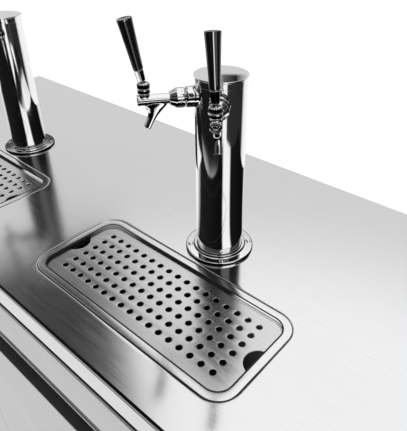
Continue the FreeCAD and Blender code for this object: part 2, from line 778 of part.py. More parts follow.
def grille_panel():
    """A steel front panel with pressed louvres and a window for the controls."""
    block = box(PANEL_LEFT, RIGHT, FACE, FRONT - S.slack, DOOR_BASE, DOOR_TOP)
    doc.recompute()
    folded = doc.addObject("Part::Fillet", "PanelFolds")
    folded.Base = block
    fold = plain(S.edge_round)
    face = plain(FACE)
    folded.Edges = [
        (index, fold, fold) for index, edge in enumerate(block.Shape.Edges, start=1)
        if edge.BoundBox.YMax < face + 1
    ]
    inside = box(PANEL_LEFT + S.skin, RIGHT - S.skin, FACE + S.skin, FRONT + 1,
                 DOOR_BASE + S.skin, DOOR_TOP - S.skin)
    window = box(PANEL_LEFT + S.grip_side, RIGHT - S.grip_side, FACE - 1, FACE + 5,
                 GRIP_BASE, GRIP_TOP)
    slots = []
    blades = []
    for step in range(LOUVRES):
        z = DOOR_BASE + 40 + LOUVRE_PITCH * step
        slots.append(box(PANEL_LEFT + 24, RIGHT - 24, FACE - 1, FACE + 5, z, z + 10))
        blade = box(PANEL_LEFT + 20, RIGHT - 20, FACE + 0.4, FACE + S.skin + 15,
                    z + 9.6, z + 10.8)
        turn(blade, (1, 0, 0), -38)
        blades.append(blade)
    opened = cut(folded, inside, window, *slots)
    node("grille_panel", fuse(opened, *blades))


def control_box():
    """The black control recess behind the panel's window, with a dial boss and a switch well."""
    wall = 3
    x0 = PANEL_LEFT + S.grip_side + S.slack
    x1 = RIGHT - S.grip_side - S.slack
    front = FACE + S.skin + 0.1
    back = FACE + S.grip_deep
    z0 = GRIP_BASE + S.slack
    z1 = GRIP_TOP - S.slack
    tray = cut(
        box(x0, x1, front, back, z0, z1),
        box(x0 + wall, x1 - wall, front - 1, back - wall, z0 + wall, z1 - wall),
    )
    housing = box(PANEL_MID - 60, PANEL_MID + 60, back, back + 22, z0 + 8, z1 - 8)
    boss = along_y(turned([(0, 0), (26, 0), (26, 3), (24, 5), (0, 5)]), PANEL_MID - 60,
                   back - wall, (z0 + z1) / 2)
    turn(boss, (1, 0, 0), 90)
    spindle = rod(3, 14, PANEL_MID - 60, back - wall - 14, (z0 + z1) / 2, "y")
    screen = box(PANEL_MID - 10, PANEL_MID + 70, back - wall - 2, back - wall + 1,
                 z0 + 22, z1 - 22)
    node("control_box", fuse(tray, housing, boss, spindle, screen))
    knob = turned([
        (3 + S.fit, 0), (18, 0), (19, 1.5), (17, 13), (15.5, 14.5), (0, 14.5), (0, 9),
        (3 + S.fit, 9),
    ])
    flutes = [
        rod(4, 20, 21.2 * math.cos(math.radians(angle)), 21.2 * math.sin(math.radians(angle)), 3)
        for angle in range(0, 360, 30)
    ]
    fluted = cut(knob, *flutes)
    turn(fluted, (1, 0, 0), 90)
    node("thermostat_knob", place(fluted, PANEL_MID - 60, back - wall - 5.2, (z0 + z1) / 2))


def compressor():
    """A hermetic compressor pot on a foot plate with rubber feet."""
    pot = turned([
        (0, 20), (60, 20), (74, 34), (76, 60), (76, 100), (80, 101), (80, 105), (76, 106),
        (74, 140), (62, 168), (34, 182), (0, 184),
    ])
    plate = slab(85, 70, 15, 0, 0, 12, 21)
    feet = [
        place(turned([(0, 0), (11, 0), (11, 4), (8, 8), (11, 12), (0, 12)]), x, y)
        for x in (-70, 70) for y in (-55, 55)
    ]
    tank = fuse(pot, plate, rod(20, 30, 60, 0, 75, "x"), *feet)
    node("compressor", place(tank, PANEL_MID, BACK - 130, FLOOR + S.skin))


def finned_coil(x0, x1, y0, y1, z0, z1, fins, tube_levels):
    """Tubes in rows that run along +Z, U-bent at the ends, through a stack of flat fins."""
    pieces = []
    for step in range(fins):
        z = z0 + (z1 - z0) * step / (fins - 1)
        pieces.append(box(x0, x1, y0, y1, z, z + 1))
    count = len(tube_levels)
    for index, place_x in enumerate(tube_levels):
        pieces.append(rod(4, z1 - z0 + 10, place_x, (y0 + y1) / 2, z0 - 5))
        if index + 1 < count:
            ends = z1 + 5 if index % 2 == 0 else z0 - 9
            pieces.append(box(place_x - 4, tube_levels[index + 1] + 4, (y0 + y1) / 2 - 4,
                              (y0 + y1) / 2 + 4, ends - 1, ends + 5))
    return fuse(*pieces)


FAN_Y = FRONT + 78
FAN_Z = FLOOR + 165
COLD_FAN_X = BAY_RIGHT - 41
COLD_FAN_Y = 20
COLD_FAN_Z = 650


def condenser_coil():
    x0 = PANEL_MID - 115
    x1 = PANEL_MID + 115
    tubes = [x0 + 15 + 40 * step for step in range(6)]
    node("condenser_coil", finned_coil(x0, x1, FRONT + 12, FRONT + 44, FLOOR + 45, FLOOR + 290,
                                       34, tubes))


def evaporator():
    """Coil and sheet cover on the cold side of the bulkhead, with a round fan mouth."""
    wall_x = BAY_RIGHT - S.gauge
    tubes = [wall_x - 34 + 13 * step for step in range(2)]
    coil = finned_coil(wall_x - 40, wall_x - 8, 95, 160, 580, 760, 24, tubes)
    node("evaporator_coil", coil)
    x0 = wall_x - 46
    cover = box(x0, wall_x, COLD_FAN_Y - 75, 175, COLD_FAN_Z - 90, COLD_FAN_Z + 130)
    hollow = box(x0 + S.skin, wall_x + 1, COLD_FAN_Y - 75 + S.skin, 175 - S.skin,
                 COLD_FAN_Z - 90 + S.skin, COLD_FAN_Z + 130 - S.skin)
    mouth = rod(S.cold_fan_rad + 3, 10, x0 - 5, COLD_FAN_Y, COLD_FAN_Z, "x")
    slots = [box(x0 - 1, x0 + 5, 95, 160, 585 + 18 * step, 591 + 18 * step)
             for step in range(10)]
    drain = box(x0 + 10, wall_x - 10, 110, 150, COLD_FAN_Z - 92, COLD_FAN_Z - 85)
    pipes = [
        rod(7, 20, BAY_RIGHT - 25, 165, SUCTION_Z, "y"),
        rod(5, 20, BAY_RIGHT - 12, 165, LIQUID_Z, "y"),
    ]
    node("evaporator_cover", cut(cover, hollow, mouth, drain, *pipes, *slots))


def fan_blades(radius, hub, depth, blades, bore):
    """A hub with pitched blades about +Z, trimmed to a circle."""
    vanes = []
    for step in range(blades):
        vane = doc.addObject("Part::Box", "Vane")
        vane.Length = plain(radius) + 5
        vane.Width = plain(hub) * 1.5
        vane.Height = 1.6
        pitch = Rotation(Vector(1, 0, 0), 26)
        spin = Rotation(Vector(0, 0, 1), 360 * step / blades)
        lift = Vector(0, -plain(hub) * 0.75, -plain(depth) * 0.1)
        vane.Placement = Placement(Vector(), spin.multiply(pitch)).multiply(
            Placement(lift, Rotation()))
        vanes.append(vane)
    swept = doc.addObject("Part::Common", "Swept")
    swept.Base = fuse(*vanes)
    swept.Tool = rod(radius, depth - 1, 0, 0, 0.5 - depth / 2)
    wheel = fuse(swept, rod(hub, depth, 0, 0, -depth / 2))
    return cut(wheel, rod(bore, depth + 2, 0, 0, -depth / 2 - 1))


def fans():
    """Both fans: blades that spin, and motors that stay."""
    warm = turn(fan_blades(S.fan_rad, 20, 24, 5, 3 + S.fit), (1, 0, 0), 90)
    node("condenser_fan_blade", place(warm, PANEL_MID, FAN_Y, FAN_Z))
    cold = turn(fan_blades(S.cold_fan_rad, 14, 12, 5, 3 + S.fit), (0, 1, 0), 90)
    node("evaporator_fan_blade", place(cold, COLD_FAN_X, COLD_FAN_Y, COLD_FAN_Z))

    motor_y = FAN_Y + 16
    shroud = cut(
        box(PANEL_MID - 112, PANEL_MID + 112, FRONT + 46, FAN_Y + 8, FLOOR + 48, FLOOR + 287),
        box(PANEL_MID - 110, PANEL_MID + 110, FRONT + 45, FAN_Y + 6, FLOOR + 50, FLOOR + 285),
        rod(S.fan_rad + 6, 80, PANEL_MID, FRONT + 50, FAN_Z, "y"),
    )
    arms = [
        box(PANEL_MID - 112, PANEL_MID + 112, motor_y + 4, motor_y + 8, FAN_Z - 5, FAN_Z + 5),
        box(PANEL_MID - 112, PANEL_MID - 108, FAN_Y + 8, motor_y + 8, FAN_Z - 5, FAN_Z + 5),
        box(PANEL_MID + 108, PANEL_MID + 112, FAN_Y + 8, motor_y + 8, FAN_Z - 5, FAN_Z + 5),
    ]
    warm_motor = fuse(rod(30, 42, PANEL_MID, motor_y, FAN_Z, "y"),
                      rod(3, 30, PANEL_MID, FAN_Y - 13, FAN_Z, "y"), shroud, *arms)
    motor_x = COLD_FAN_X + 8
    cold_motor = fuse(
        rod(17, 24, motor_x, COLD_FAN_Y, COLD_FAN_Z, "x"),
        rod(3, 16, COLD_FAN_X - 7, COLD_FAN_Y, COLD_FAN_Z, "x"),
        box(motor_x + 19, motor_x + 22, COLD_FAN_Y - 70, COLD_FAN_Y + 70,
            COLD_FAN_Z - 8, COLD_FAN_Z + 8),
    )
    node("fan_motors", group(warm_motor, cold_motor))


def refrigerant_pipes():
    """Copper lines: compressor to condenser, and both lines through the bulkhead."""
    comp_y = BACK - 130
    discharge = hose(3.2, [
        (PANEL_MID + 50, comp_y - 90, FLOOR + 60), (PANEL_MID + 50, comp_y - 90, FLOOR + 310),
        (PANEL_MID + 100, comp_y - 90, FLOOR + 310), (PANEL_MID + 100, FRONT + 28, FLOOR + 310),
    ], 14)
    low, high = PIPE_LEVELS
    suction = hose(4.8, [
        (PANEL_MID - 20, comp_y, FLOOR + 187), (PANEL_MID - 20, comp_y, high),
        (PANEL_MID - 20, PIPE_Y, high), (BAY_RIGHT - 25, PIPE_Y, high),
        (BAY_RIGHT - 25, PIPE_Y, SUCTION_Z), (BAY_RIGHT - 25, 168, SUCTION_Z),
    ], 14)
    liquid = hose(3.2, [
        (PANEL_MID - 100, FRONT + 60, FLOOR + 330), (PANEL_MID - 100, FRONT + 60, low),
        (PANEL_MID - 100, PIPE_Y, low), (BAY_RIGHT - 12, PIPE_Y, low),
        (BAY_RIGHT - 12, PIPE_Y, LIQUID_Z), (BAY_RIGHT - 12, 168, LIQUID_Z),
    ], 10)
    node("refrigerant_pipes", group(discharge, suction, liquid))


def rear_cover():
    """A louvred sheet over the machine compartment's back opening."""
    plate = box(BULKHEAD + 20, RIGHT - 20, BACK, BACK + S.skin, FLOOR + 30, DECK - 50)
    slots = []
    for step in range(16):
        z = FLOOR + 70 + 26 * step
        slots.append(box(BULKHEAD + 60, RIGHT - 60, BACK - 2, BACK + 3, z, z + 9))
    cord = rod(5.5, 10, RIGHT - 50, BACK - 4, FLOOR + 50, "y")
    node("rear_cover", cut(plate, cord, *slots))


def power_cord():
    """Cord from the control box, inside the compartment, out through the rear cover."""
    plug_x = RIGHT - 50
    start_y = FACE + S.grip_deep + 22
    lead = hose(4, [
        (PANEL_MID + 40, start_y, GRIP_BASE + 41), (PANEL_MID + 40, start_y + 40, GRIP_BASE + 41),
        (plug_x, start_y + 40, GRIP_BASE + 41), (plug_x, BACK - 40, GRIP_BASE + 41),
        (plug_x, BACK - 40, FLOOR + 50), (plug_x, BACK - 16, FLOOR + 50),
    ], 12)
    plug = fuse(
        box(plug_x - 14, plug_x + 14, BACK - 16, BACK - 3, FLOOR + 36, FLOOR + 64),
        rod(5, 7, plug_x, BACK - 4, FLOOR + 50, "y"),
    )
    node("power_cord", group(lead, plug))


# ---------------------------------------------------------------- towers

def tower():
    """Column, cap, base flange and flange screws of both towers."""
    inner = S.tower_rad - S.gauge
    tube = cut(rod(S.tower_rad, S.tower_tall - S.gauge, 0, 0, S.high),
               rod(inner, S.tower_tall + 10, 0, 0, S.high - 5))
    ports = []
    for side in (-1, 1):
        port = rod(S.shank_rad + S.fit, 60, 0, 0, TAP_LEVEL, "x")
        aimed = Rotation(Vector(0, 0, 1), -90 + side * plain(S.tap_angle))
        port.Placement = Placement(port.Placement.Base, aimed.multiply(port.Placement.Rotation))
        bind(port, "Placement.Base.z", TAP_LEVEL)
        ports.append(port)
    column = cut(tube, *ports)
    cap = place(turned([
        (0, S.cap_skirt), (S.tower_rad + 0.4, S.cap_skirt), (S.tower_rad + 1.2, S.cap_skirt - 0.9),
        (S.tower_rad + 1.2, S.cap_skirt - 2.2), (S.tower_rad + 0.8, S.cap_skirt - 2.8),
        (S.tower_rad + 0.8, 0), (S.tower_rad + 0.05, 0),
        (S.tower_rad + 0.05, S.cap_skirt - S.gauge), (0, S.cap_skirt - S.gauge),
    ]), 0, 0, TOWER_TOP - S.cap_skirt)
    step_up = 4
    flange = place(turned([
        (S.tower_rad, 0), (S.flange_rad, 0), (S.flange_rad, S.flange_thick - 2.2),
        (S.flange_rad - 0.8, S.flange_thick - 0.8), (S.flange_rad - 2.4, S.flange_thick),
        (S.tower_rad + 6, S.flange_thick), (S.tower_rad + 5.2, S.flange_thick + 1),
        (S.tower_rad + 4.6, S.flange_thick + step_up - 1),
        (S.tower_rad + 3.4, S.flange_thick + step_up), (S.tower_rad, S.flange_thick + step_up),
    ]), 0, 0, S.high)
    screw = turned([
        (0, -5.4), (S.screw_rad - 0.1, -5.4), (S.screw_rad - 0.1, S.flange_thick - 1),
        (S.screw_rad - 0.1, S.flange_thick), (4.6, S.flange_thick), (4.6, S.flange_thick + 0.9),
        (3.6, S.flange_thick + 2), (2, S.flange_thick + 2.5), (0, S.flange_thick + 2.6),
    ])
    cross = [
        box(-2.6, 2.6, -0.45, 0.45, S.flange_thick + 1.2, S.flange_thick + 4),
        box(-0.45, 0.45, -2.6, 2.6, S.flange_thick + 1.2, S.flange_thick + 4),
    ]
    slotted = cut(screw, *cross)
    drilled = cut(flange, *screw_holes(0, 0, S.high - 5))
    node("tower_columns", group(*(copy_at(column, x) for x in TOWER_XS)))
    node("tower_caps", group(*(copy_at(cap, x) for x in TOWER_XS)))
    node("tower_flanges", group(*(copy_at(drilled, x) for x in TOWER_XS)))
    node("flange_screws", group(*(
        copy_at(slotted, x + spot_x, spot_y, S.high, 20 * index)
        for x in TOWER_XS for index, (spot_x, spot_y) in enumerate(screw_spots())
    )))


# ---------------------------------------------------------------- taps
# A tap is drawn with the tower axis at x = 0, its own axis along +X and z = 0 on that axis.

PIVOT = (S.pivot_out, 0, S.pivot_up)
SHANK_END = 62
NUT_BACK = 52.5
NUT_FRONT = 66.3
SEAT = 72
GUIDE_BACK = 97
GUIDE_FRONT = 115.8
BARREL_END = 119
OUTLET = (107.5, -41)
FERRULE_TOP = 26


def tap_places():
    """Where the four taps go: tower, spin, roll about the tap's axis, and whether it is open.

    The right tower's left tap stands open; the other three are shut.
    """
    right_tower = TOWER_XS[1]
    return (
        (TOWER_XS[0], -S.tap_angle - 90, 0, False),
        (TOWER_XS[0], S.tap_angle - 90, 0, False),
        (right_tower, -S.tap_angle - 90, 0, True),
        (right_tower, S.tap_angle - 90, S.tap_roll, False),
    )


def at_tap(source, x, spin, roll):
    """A copy of a tap's piece at its place on a tower."""
    if roll:
        source = group(turn(copy_at(source), (1, 0, 0), roll))
    return copy_at(source, x, 0, TAP_LEVEL, spin)


def four_of(label, source, level=None):
    """One on every tap, and maybe a piece that fits the column and so never rolls."""
    copies = []
    for x, spin, roll, _ in tap_places():
        copies.append(at_tap(source, x, spin, roll))
        if level:
            copies.append(at_tap(level, x, spin, 0))
    node(label, group(*copies))


def each_of(label, shut, opened):
    for index, (x, spin, roll, is_open) in enumerate(tap_places(), start=1):
        source = opened if is_open else shut
        node(f"{label}_{index}", group(at_tap(source, x, spin, roll)))


def shanks():
    """Threaded shank through the column wall, with a ring nut inside the column."""
    tube = along_x(turned([
        (3.2, 24), (6.5, 24), (6.5, 29), (S.shank_rad, 29), (S.shank_rad, SHANK_END),
        (3.2, SHANK_END),
    ]))
    nut = along_x(turned([
        (S.shank_rad, 29), (15.5, 29), (15.5, 33), (S.shank_rad, 33),
    ]))
    four_of("faucet_shanks", group(tube, nut))


def collars():
    """Wall ring, coupling nut with spanner notches, and the knurled bonnet round the lever."""
    wall_ring = cut(
        along_x(turned([
            (S.shank_rad, 30), (15.6, 30), (15.6, 39), (14.9, 40.5), (14.9, 49.5),
            (13.6, NUT_BACK - 1), (S.shank_rad, NUT_BACK - 1),
        ])),
        rod(S.tower_rad, 120, 0, 0, -60),
    )
    nut = along_x(turned([
        (S.shank_rad, NUT_BACK), (12.8, NUT_BACK), (14.2, NUT_BACK + 1.4), (14.2, NUT_FRONT - 1.7),
        (13, NUT_FRONT), (9, SEAT + 2), (S.barrel_rad + 0.1, SEAT + 2),
        (S.barrel_rad + 0.1, SHANK_END + 4.1), (S.shank_rad, SHANK_END + 4.1),
    ]))
    notches = [
        turn_about_x(box(NUT_BACK + 4, NUT_BACK + 9, -2, 2, 12.8, 16), 60 * step)
        for step in range(6)
    ]
    bonnet = turned([
        (4.6, -1.7), (7.4, -1.7), (8, -1), (8, 4.8), (7.2, 6), (6.4, 6.6), (4.3, 6.6),
        (3.95, 1.6), (4.6, 0),
    ])
    flute_at = 8.4
    flutes = []
    for step in range(18):
        angle = math.radians(20 * step)
        flutes.append(rod(0.8, 11, flute_at * math.cos(angle), flute_at * math.sin(angle), -3))
    knurled = place(cut(bonnet, *flutes), *PIVOT)
    four_of("faucet_collars", group(cut(nut, *notches), knurled), wall_ring)


def turn_about_x(thing, angle):
    """Turn an object about the tap's own axis."""
    spin = Rotation(Vector(1, 0, 0), angle)
    base = spin.multVec(thing.Placement.Base)
    for letter in "xyz":
        thing.setExpression(f"Placement.Base.{letter}", None)
    thing.Placement = Placement(base, spin)
    return thing


def spout():
    """A loft from the wide root under the barrel to the round, outward-leaning outlet."""
    sections = (
        # out, up, half length, half width, lean
        (92, -3.5, 18.5, 6.5, 0),
        (93.7, -9.5, 15.4, 6.4, 0),
        (95.8, -15.5, 11, 6.1, 4),
        (98, -21.5, 7.4, 5.8, 12),
        (101.6, -29, 5.9, 5.6, 24),
        (*OUTLET, 5.6, 5.5, 27),
    )
    rings = []
    for out, up, half_long, half_wide, lean in sections:
        ring = doc.addObject("Part::Ellipse", "SpoutRing")
        ring.MajorRadius = half_long
        ring.MinorRadius = half_wide
        ring.Placement = Placement(Vector(out, 0, up), Rotation(Vector(0, 1, 0), -lean))
        rings.append(ring)
    loft = doc.addObject("Part::Loft", "Spout")
    loft.Sections = rings
    loft.Solid = True
    return loft


def tap_body():
    """Barrel, neck and spout, bored for the shaft, the lever's tail and the beer."""
    barrel = along_x(turned([
        (0, SHANK_END + 0.1), (10.4, SHANK_END + 0.1), (10.4, SHANK_END + 4),
        (S.barrel_rad, SHANK_END + 4), (S.barrel_rad, 104), (7.8, 106), (7.8, BARREL_END - 0.8),
        (7, BARREL_END), (4.8, BARREL_END), (4.6, BARREL_END - 0.6), (2.8, BARREL_END - 0.6),
        (2.6, BARREL_END), (0, BARREL_END),
    ]))
    neck = place(turned([
        (0, -S.pivot_up), (7, -S.pivot_up), (7.8, -12), (7.4, -9.6), (8.7, -8.4), (8.7, -3.2),
        (7.8, -2), (0, -2),
    ]), *PIVOT)
    shaft_way = along_x(turned([
        (0, SHANK_END), (6, SHANK_END), (6, SEAT), (3.8, SEAT), (3.8, 74), (4.2, 74), (4.2, 90),
        (4.5 + S.fit, 90), (4.5 + S.fit, GUIDE_FRONT + 0.6), (0, GUIDE_FRONT + 0.6),
    ]))
    ball_way = rod(4.6, 9, S.pivot_out, 0, S.pivot_up - 10)
    tail_way = place(extruded([
        (-5.7, -S.pivot_up), (4.6, -S.pivot_up), (4.6, -4), (-4.6, -4),
    ], 4), *PIVOT)
    outlet = rod(3.7, 46)
    out, up = OUTLET
    outlet.Placement = Placement(Vector(out + 0.7, 0, up - 1.5), Rotation(Vector(0, 1, 0), -25))
    return cut(fuse(barrel, neck, spout()), shaft_way, ball_way, tail_way, outlet)


def tap_shaft():
    """The sliding shaft: seat washer, stem and a guide with the slot that the lever works in."""
    shaft = along_x(turned([
        (0, SEAT - 3), (5, SEAT - 3), (5, SEAT - 0.05), (2.8, SEAT - 0.05), (2.8, GUIDE_BACK),
        (4.5, GUIDE_BACK), (4.5, GUIDE_FRONT), (0, GUIDE_FRONT),
    ]))
    slot = box(S.pivot_out + 0.2, S.pivot_out + 5.1, -2, 2, -2.6, 6)
    return cut(shaft, slot)


def tap_lever(lean):
    """Tail, ball, stem and ferrule."""
    points = [(0, -19.5), (1.1, -19.1), (1.5, -18), (1.5, -3.9)]
    for degrees in (-60, -40, -20, 0, 20, 40):
        angle = math.radians(degrees)
        points.append((4.2 * math.cos(angle), 4.2 * math.sin(angle)))
    points += [
        (2.2, 3.6), (2.2, 8.6), (4.2, 8.8), (4.7, 9.4), (6.2, FERRULE_TOP - 1.4),
        (6.2, FERRULE_TOP - 0.4), (5.6, FERRULE_TOP), (0, FERRULE_TOP),
    ]
    return place(turn(turned(points), (0, 1, 0), lean), *PIVOT)


def tap_handle(lean):
    """A tapered black handle that widens to a slightly dished top."""
    base = FERRULE_TOP
    top = S.grip_long + base
    handle = turned([
        (0, base), (6.6, base), (7.1, base + 0.6), (7.6, base + 14), (8.6, base + 34),
        (9.6, base + 54), (10.3, top - 1.4), (9.8, top), (8, top - 0.4), (4.4, top - 1.2),
        (0, top - 1.5),
    ])
    return place(turn(handle, (0, 1, 0), lean), *PIVOT)


# ---------------------------------------------------------------- beer and gas

def beer_lines():
    """Two lines from each keg coupler, up its tower, one to each tap's shank."""
    lines = []
    for keg_x, tower_x in zip((S.keg_left, S.keg_right), TOWER_XS):
        for side, level in zip((-1, 1), BEER_LEVELS):
            angle = math.radians(plain(S.tap_angle))
            across = side * math.sin(angle)
            ahead = -math.cos(angle)
            riser_x = tower_x + S.riser * across
            lines.append(hose(S.beer_rad, [
                (keg_x + 16, KEG_Y, level), (riser_x, KEG_Y, level),
                (riser_x, KEG_Y, TAP_LEVEL),
                (tower_x + 24 * across, 24 * ahead, TAP_LEVEL),
            ], 11))
    node("beer_lines", group(*lines))


def keg_couplers():
    """Couplers parked where a keg's neck would be: body, two beer barbs and a gas barb."""
    body = turned([
        (0, 0), (20, 0), (27, 2), (27, 14), (22, 16), (18, 20), (18, 44), (15, 46), (15, 54),
        (10, 56), (10, 104), (0, 104),
    ])
    barbs = [rod(3.2, 16, 0, 0, level - KEG_TOP, "x") for level in BEER_LEVELS]
    gas = rod(3.2, 34, 0, 0, 36, "y")
    ears = rod(4, 48, -24, 0, 30, "x")
    solid = fuse(body, gas, ears, *barbs)
    node("keg_couplers", group(*(
        copy_at(solid, x, KEG_Y, KEG_TOP) for x in (S.keg_left, S.keg_right)
    )))
    arms = []
    for x in (19, -23):
        arms.append(cut(
            fuse(rod(8, 4, x, 0, 0, "x"), box(x, x + 4, -64, 0, -5, 5)),
            rod(4 + S.fit, 20, x - 8, 0, 0, "x"),
        ))
    bridge = box(-23, 23, -68, -62, -5, 5)
    grip = rod(7, 74, 0, -140, 0, "y")
    fork = turn(fuse(*arms, bridge, grip), (1, 0, 0), -30)
    for index, x in enumerate((S.keg_left, S.keg_right), start=1):
        node(f"coupler_handle_{index}", group(copy_at(fork, x, KEG_Y, KEG_TOP + 30)))


def gas_supply():
    """Gas bottle with its valve and wheel, and a regulator with two gauges."""
    rad = S.bottle_rad
    tall = S.bottle_tall
    floor = BAY_FLOOR + S.gauge
    bottle = turned([
        (0, 4), (rad - 22, 4), (rad - 16, 0), (rad - 6, 2), (rad, 12), (rad, tall - 60),
        (rad - 6, tall - 36), (rad - 22, tall - 14), (24, tall), (18, tall + 4),
        (18, tall + 14), (12, tall + 16), (12, tall + 52), (4, tall + 54), (4, tall + 62),
        (0, tall + 62),
    ])
    outlet = rod(8, 24, 0, 0, tall + 34, "x")
    node("co2_cylinder", place(fuse(bottle, outlet), S.bottle_x, S.bottle_y, floor))
    rim = turned([
        (4 + S.fit, 0), (9, 0), (9, 2), (19, 2), (21, 0), (24, 2), (24, 8), (21, 10),
        (18, 8), (9, 8), (9, 10), (0, 10), (0, 6.2), (4 + S.fit, 6.2),
    ])
    openings = []
    for step in range(6):
        angle = math.radians(60 * step)
        openings.append(rod(3.4, 20, 13.6 * math.cos(angle), 13.6 * math.sin(angle), -5))
    wheel = cut(rim, *openings)
    node("cylinder_handwheel", place(wheel, S.bottle_x, S.bottle_y, floor + tall + 55.8))

    level = floor + tall + 34
    stem_x = S.bottle_x + 24.1
    core_x = stem_x + 62
    barb_z = level - 51
    barb_xs = (core_x - 8, core_x + 8)
    gauge = turned([(0, 0), (22, 0), (24, 3), (24, 14), (22.5, 16), (20.5, 16), (20.5, 13.5),
                    (0, 13.5)])
    inlet = along_x(turned([(0, 0), (13, 0), (13, 12), (9, 14), (9, 48), (0, 48)]), stem_x,
                    S.bottle_y, level)
    core = along_y(turned([(0, -18), (21, -18), (23, -12), (23, 12), (21, 18), (0, 18)]),
                   core_x, S.bottle_y, level)
    spindle = rod(4, 14, core_x, S.bottle_y - 30, level, "y")
    dial_stem = rod(5, 40, core_x, S.bottle_y, level + 14)
    dial = place(turn(gauge, (1, 0, 0), 90), core_x, S.bottle_y + 6, level + 60)
    barbs = [rod(3.2, 36, x, S.bottle_y, barb_z) for x in barb_xs]
    node("co2_regulator", fuse(inlet, core, spindle, dial_stem, dial, *barbs))
    knob = turned([(4 + S.fit, 0), (15, 0), (16, 2), (15, 14), (13, 16), (0, 16), (0, 11.9),
                   (4 + S.fit, 11.9)])
    grips = [rod(2, 20, 16.6 * math.cos(math.radians(angle)),
                 16.6 * math.sin(math.radians(angle)), -2) for angle in range(0, 360, 30)]
    ribbed = turn(cut(knob, *grips), (1, 0, 0), 90)
    node("regulator_knob", place(ribbed, core_x, S.bottle_y - 18.1, level))

    rear_y = BAY_BACK - 40
    lines = []
    for barb_x, keg_x, low in zip(barb_xs, (S.keg_left, S.keg_right), (480, 470)):
        lines.append(hose(S.gas_rad, [
            (barb_x, S.bottle_y, barb_z), (barb_x, S.bottle_y, low), (barb_x, rear_y, low),
            (barb_x, rear_y, KEG_TOP + 36), (keg_x, rear_y, KEG_TOP + 36),
            (keg_x, KEG_Y + 34, KEG_TOP + 36),
        ], 12))
    node("gas_lines", group(*lines))


cabinet_shell()
cabinet_insulation()
inner_liner()
legs()
worktop()
worktop_core()
drip_trays()
grates()
drain_hoses()
doors()
hinge_brackets()
grille_panel()
control_box()
compressor()
condenser_coil()
evaporator()
fans()
refrigerant_pipes()
rear_cover()
power_cord()
tower()
shanks()
collars()
four_of("faucet_bodies", tap_body())
shut_shaft = tap_shaft()
each_of("faucet_shaft", shut_shaft, group(copy_at(shut_shaft, -S.tap_stroke)))
each_of("faucet_lever", tap_lever(S.lean_shut), tap_lever(S.lean_open))
each_of("tap_handle", tap_handle(S.lean_shut), tap_handle(S.lean_open))
beer_lines()
keg_couplers()
gas_supply()

doc.recompute()

problems = [thing.Label for thing in doc.Objects
            if "Invalid" in thing.State or "Error" in thing.State]
for piece in NODES:
    if piece.Shape.isNull() or not piece.Shape.isValid() or not piece.Shape.Solids:
        problems.append(piece.Label)
if problems:
    raise RuntimeError(f"failed pieces: {problems}")

os.makedirs("parts", exist_ok=True)
for piece in NODES:
    piece.Shape.exportStep(f"parts/{piece.Label}.step")
    print(piece.Label, len(piece.Shape.Solids), round(piece.Shape.Volume))
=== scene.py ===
"""Looks of the kegerator: brushed steel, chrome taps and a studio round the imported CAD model."""
import json
import math

import bmesh
import bpy
from mathutils import Matrix, Vector
from mathutils.geometry import tessellate_polygon


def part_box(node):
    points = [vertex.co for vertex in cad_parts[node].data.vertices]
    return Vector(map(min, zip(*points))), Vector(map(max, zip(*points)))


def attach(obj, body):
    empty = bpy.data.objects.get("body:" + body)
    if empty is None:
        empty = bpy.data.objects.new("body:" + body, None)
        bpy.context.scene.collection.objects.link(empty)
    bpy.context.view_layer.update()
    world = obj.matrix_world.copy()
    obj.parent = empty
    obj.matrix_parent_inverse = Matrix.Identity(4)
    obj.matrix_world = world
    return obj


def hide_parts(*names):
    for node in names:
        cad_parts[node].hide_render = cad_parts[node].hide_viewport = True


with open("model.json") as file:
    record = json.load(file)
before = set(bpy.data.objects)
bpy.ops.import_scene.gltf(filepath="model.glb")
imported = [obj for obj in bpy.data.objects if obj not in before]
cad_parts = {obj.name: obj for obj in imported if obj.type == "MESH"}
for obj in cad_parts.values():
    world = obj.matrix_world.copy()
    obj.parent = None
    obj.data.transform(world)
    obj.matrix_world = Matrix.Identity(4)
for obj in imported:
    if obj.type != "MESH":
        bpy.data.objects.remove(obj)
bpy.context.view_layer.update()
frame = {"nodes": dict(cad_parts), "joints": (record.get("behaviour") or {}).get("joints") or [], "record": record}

MM = 0.001
RECORD = frame["record"]
JOINTS = {joint["name"]: joint for joint in frame["joints"]}
NODES = frame["nodes"]


# ---------------------------------------------------------------- places, all from the frame

def centre_of(node):
    low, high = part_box(node)
    return (low + high) / 2


WORKTOP_LOW, WORKTOP_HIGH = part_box("worktop")
TOP_Z = WORKTOP_HIGH.z
GRATES = {"left_grate": centre_of("left_grate"), "right_grate": centre_of("right_grate")}
GRATE_LOW, GRATE_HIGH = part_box("right_grate")
COLUMN_LOW, COLUMN_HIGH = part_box("tower_columns")
COLUMN_RAD = (COLUMN_HIGH.y - COLUMN_LOW.y) / 2
TOWER_XS = (COLUMN_LOW.x + COLUMN_RAD, COLUMN_HIGH.x - COLUMN_RAD)
CAP_LOW, CAP_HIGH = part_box("tower_caps")
FLANGE_LOW, FLANGE_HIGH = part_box("tower_flanges")
FLANGE_RAD = (FLANGE_HIGH.y - FLANGE_LOW.y) / 2
# The lever's hinge, in metres out from the tower's axis and above the tap's own axis.
PIVOT_OUT = 0.109
PIVOT_UP = 0.0185
SHUT_LEAN = math.radians(-8)
OPEN_LEAN = math.radians(11)


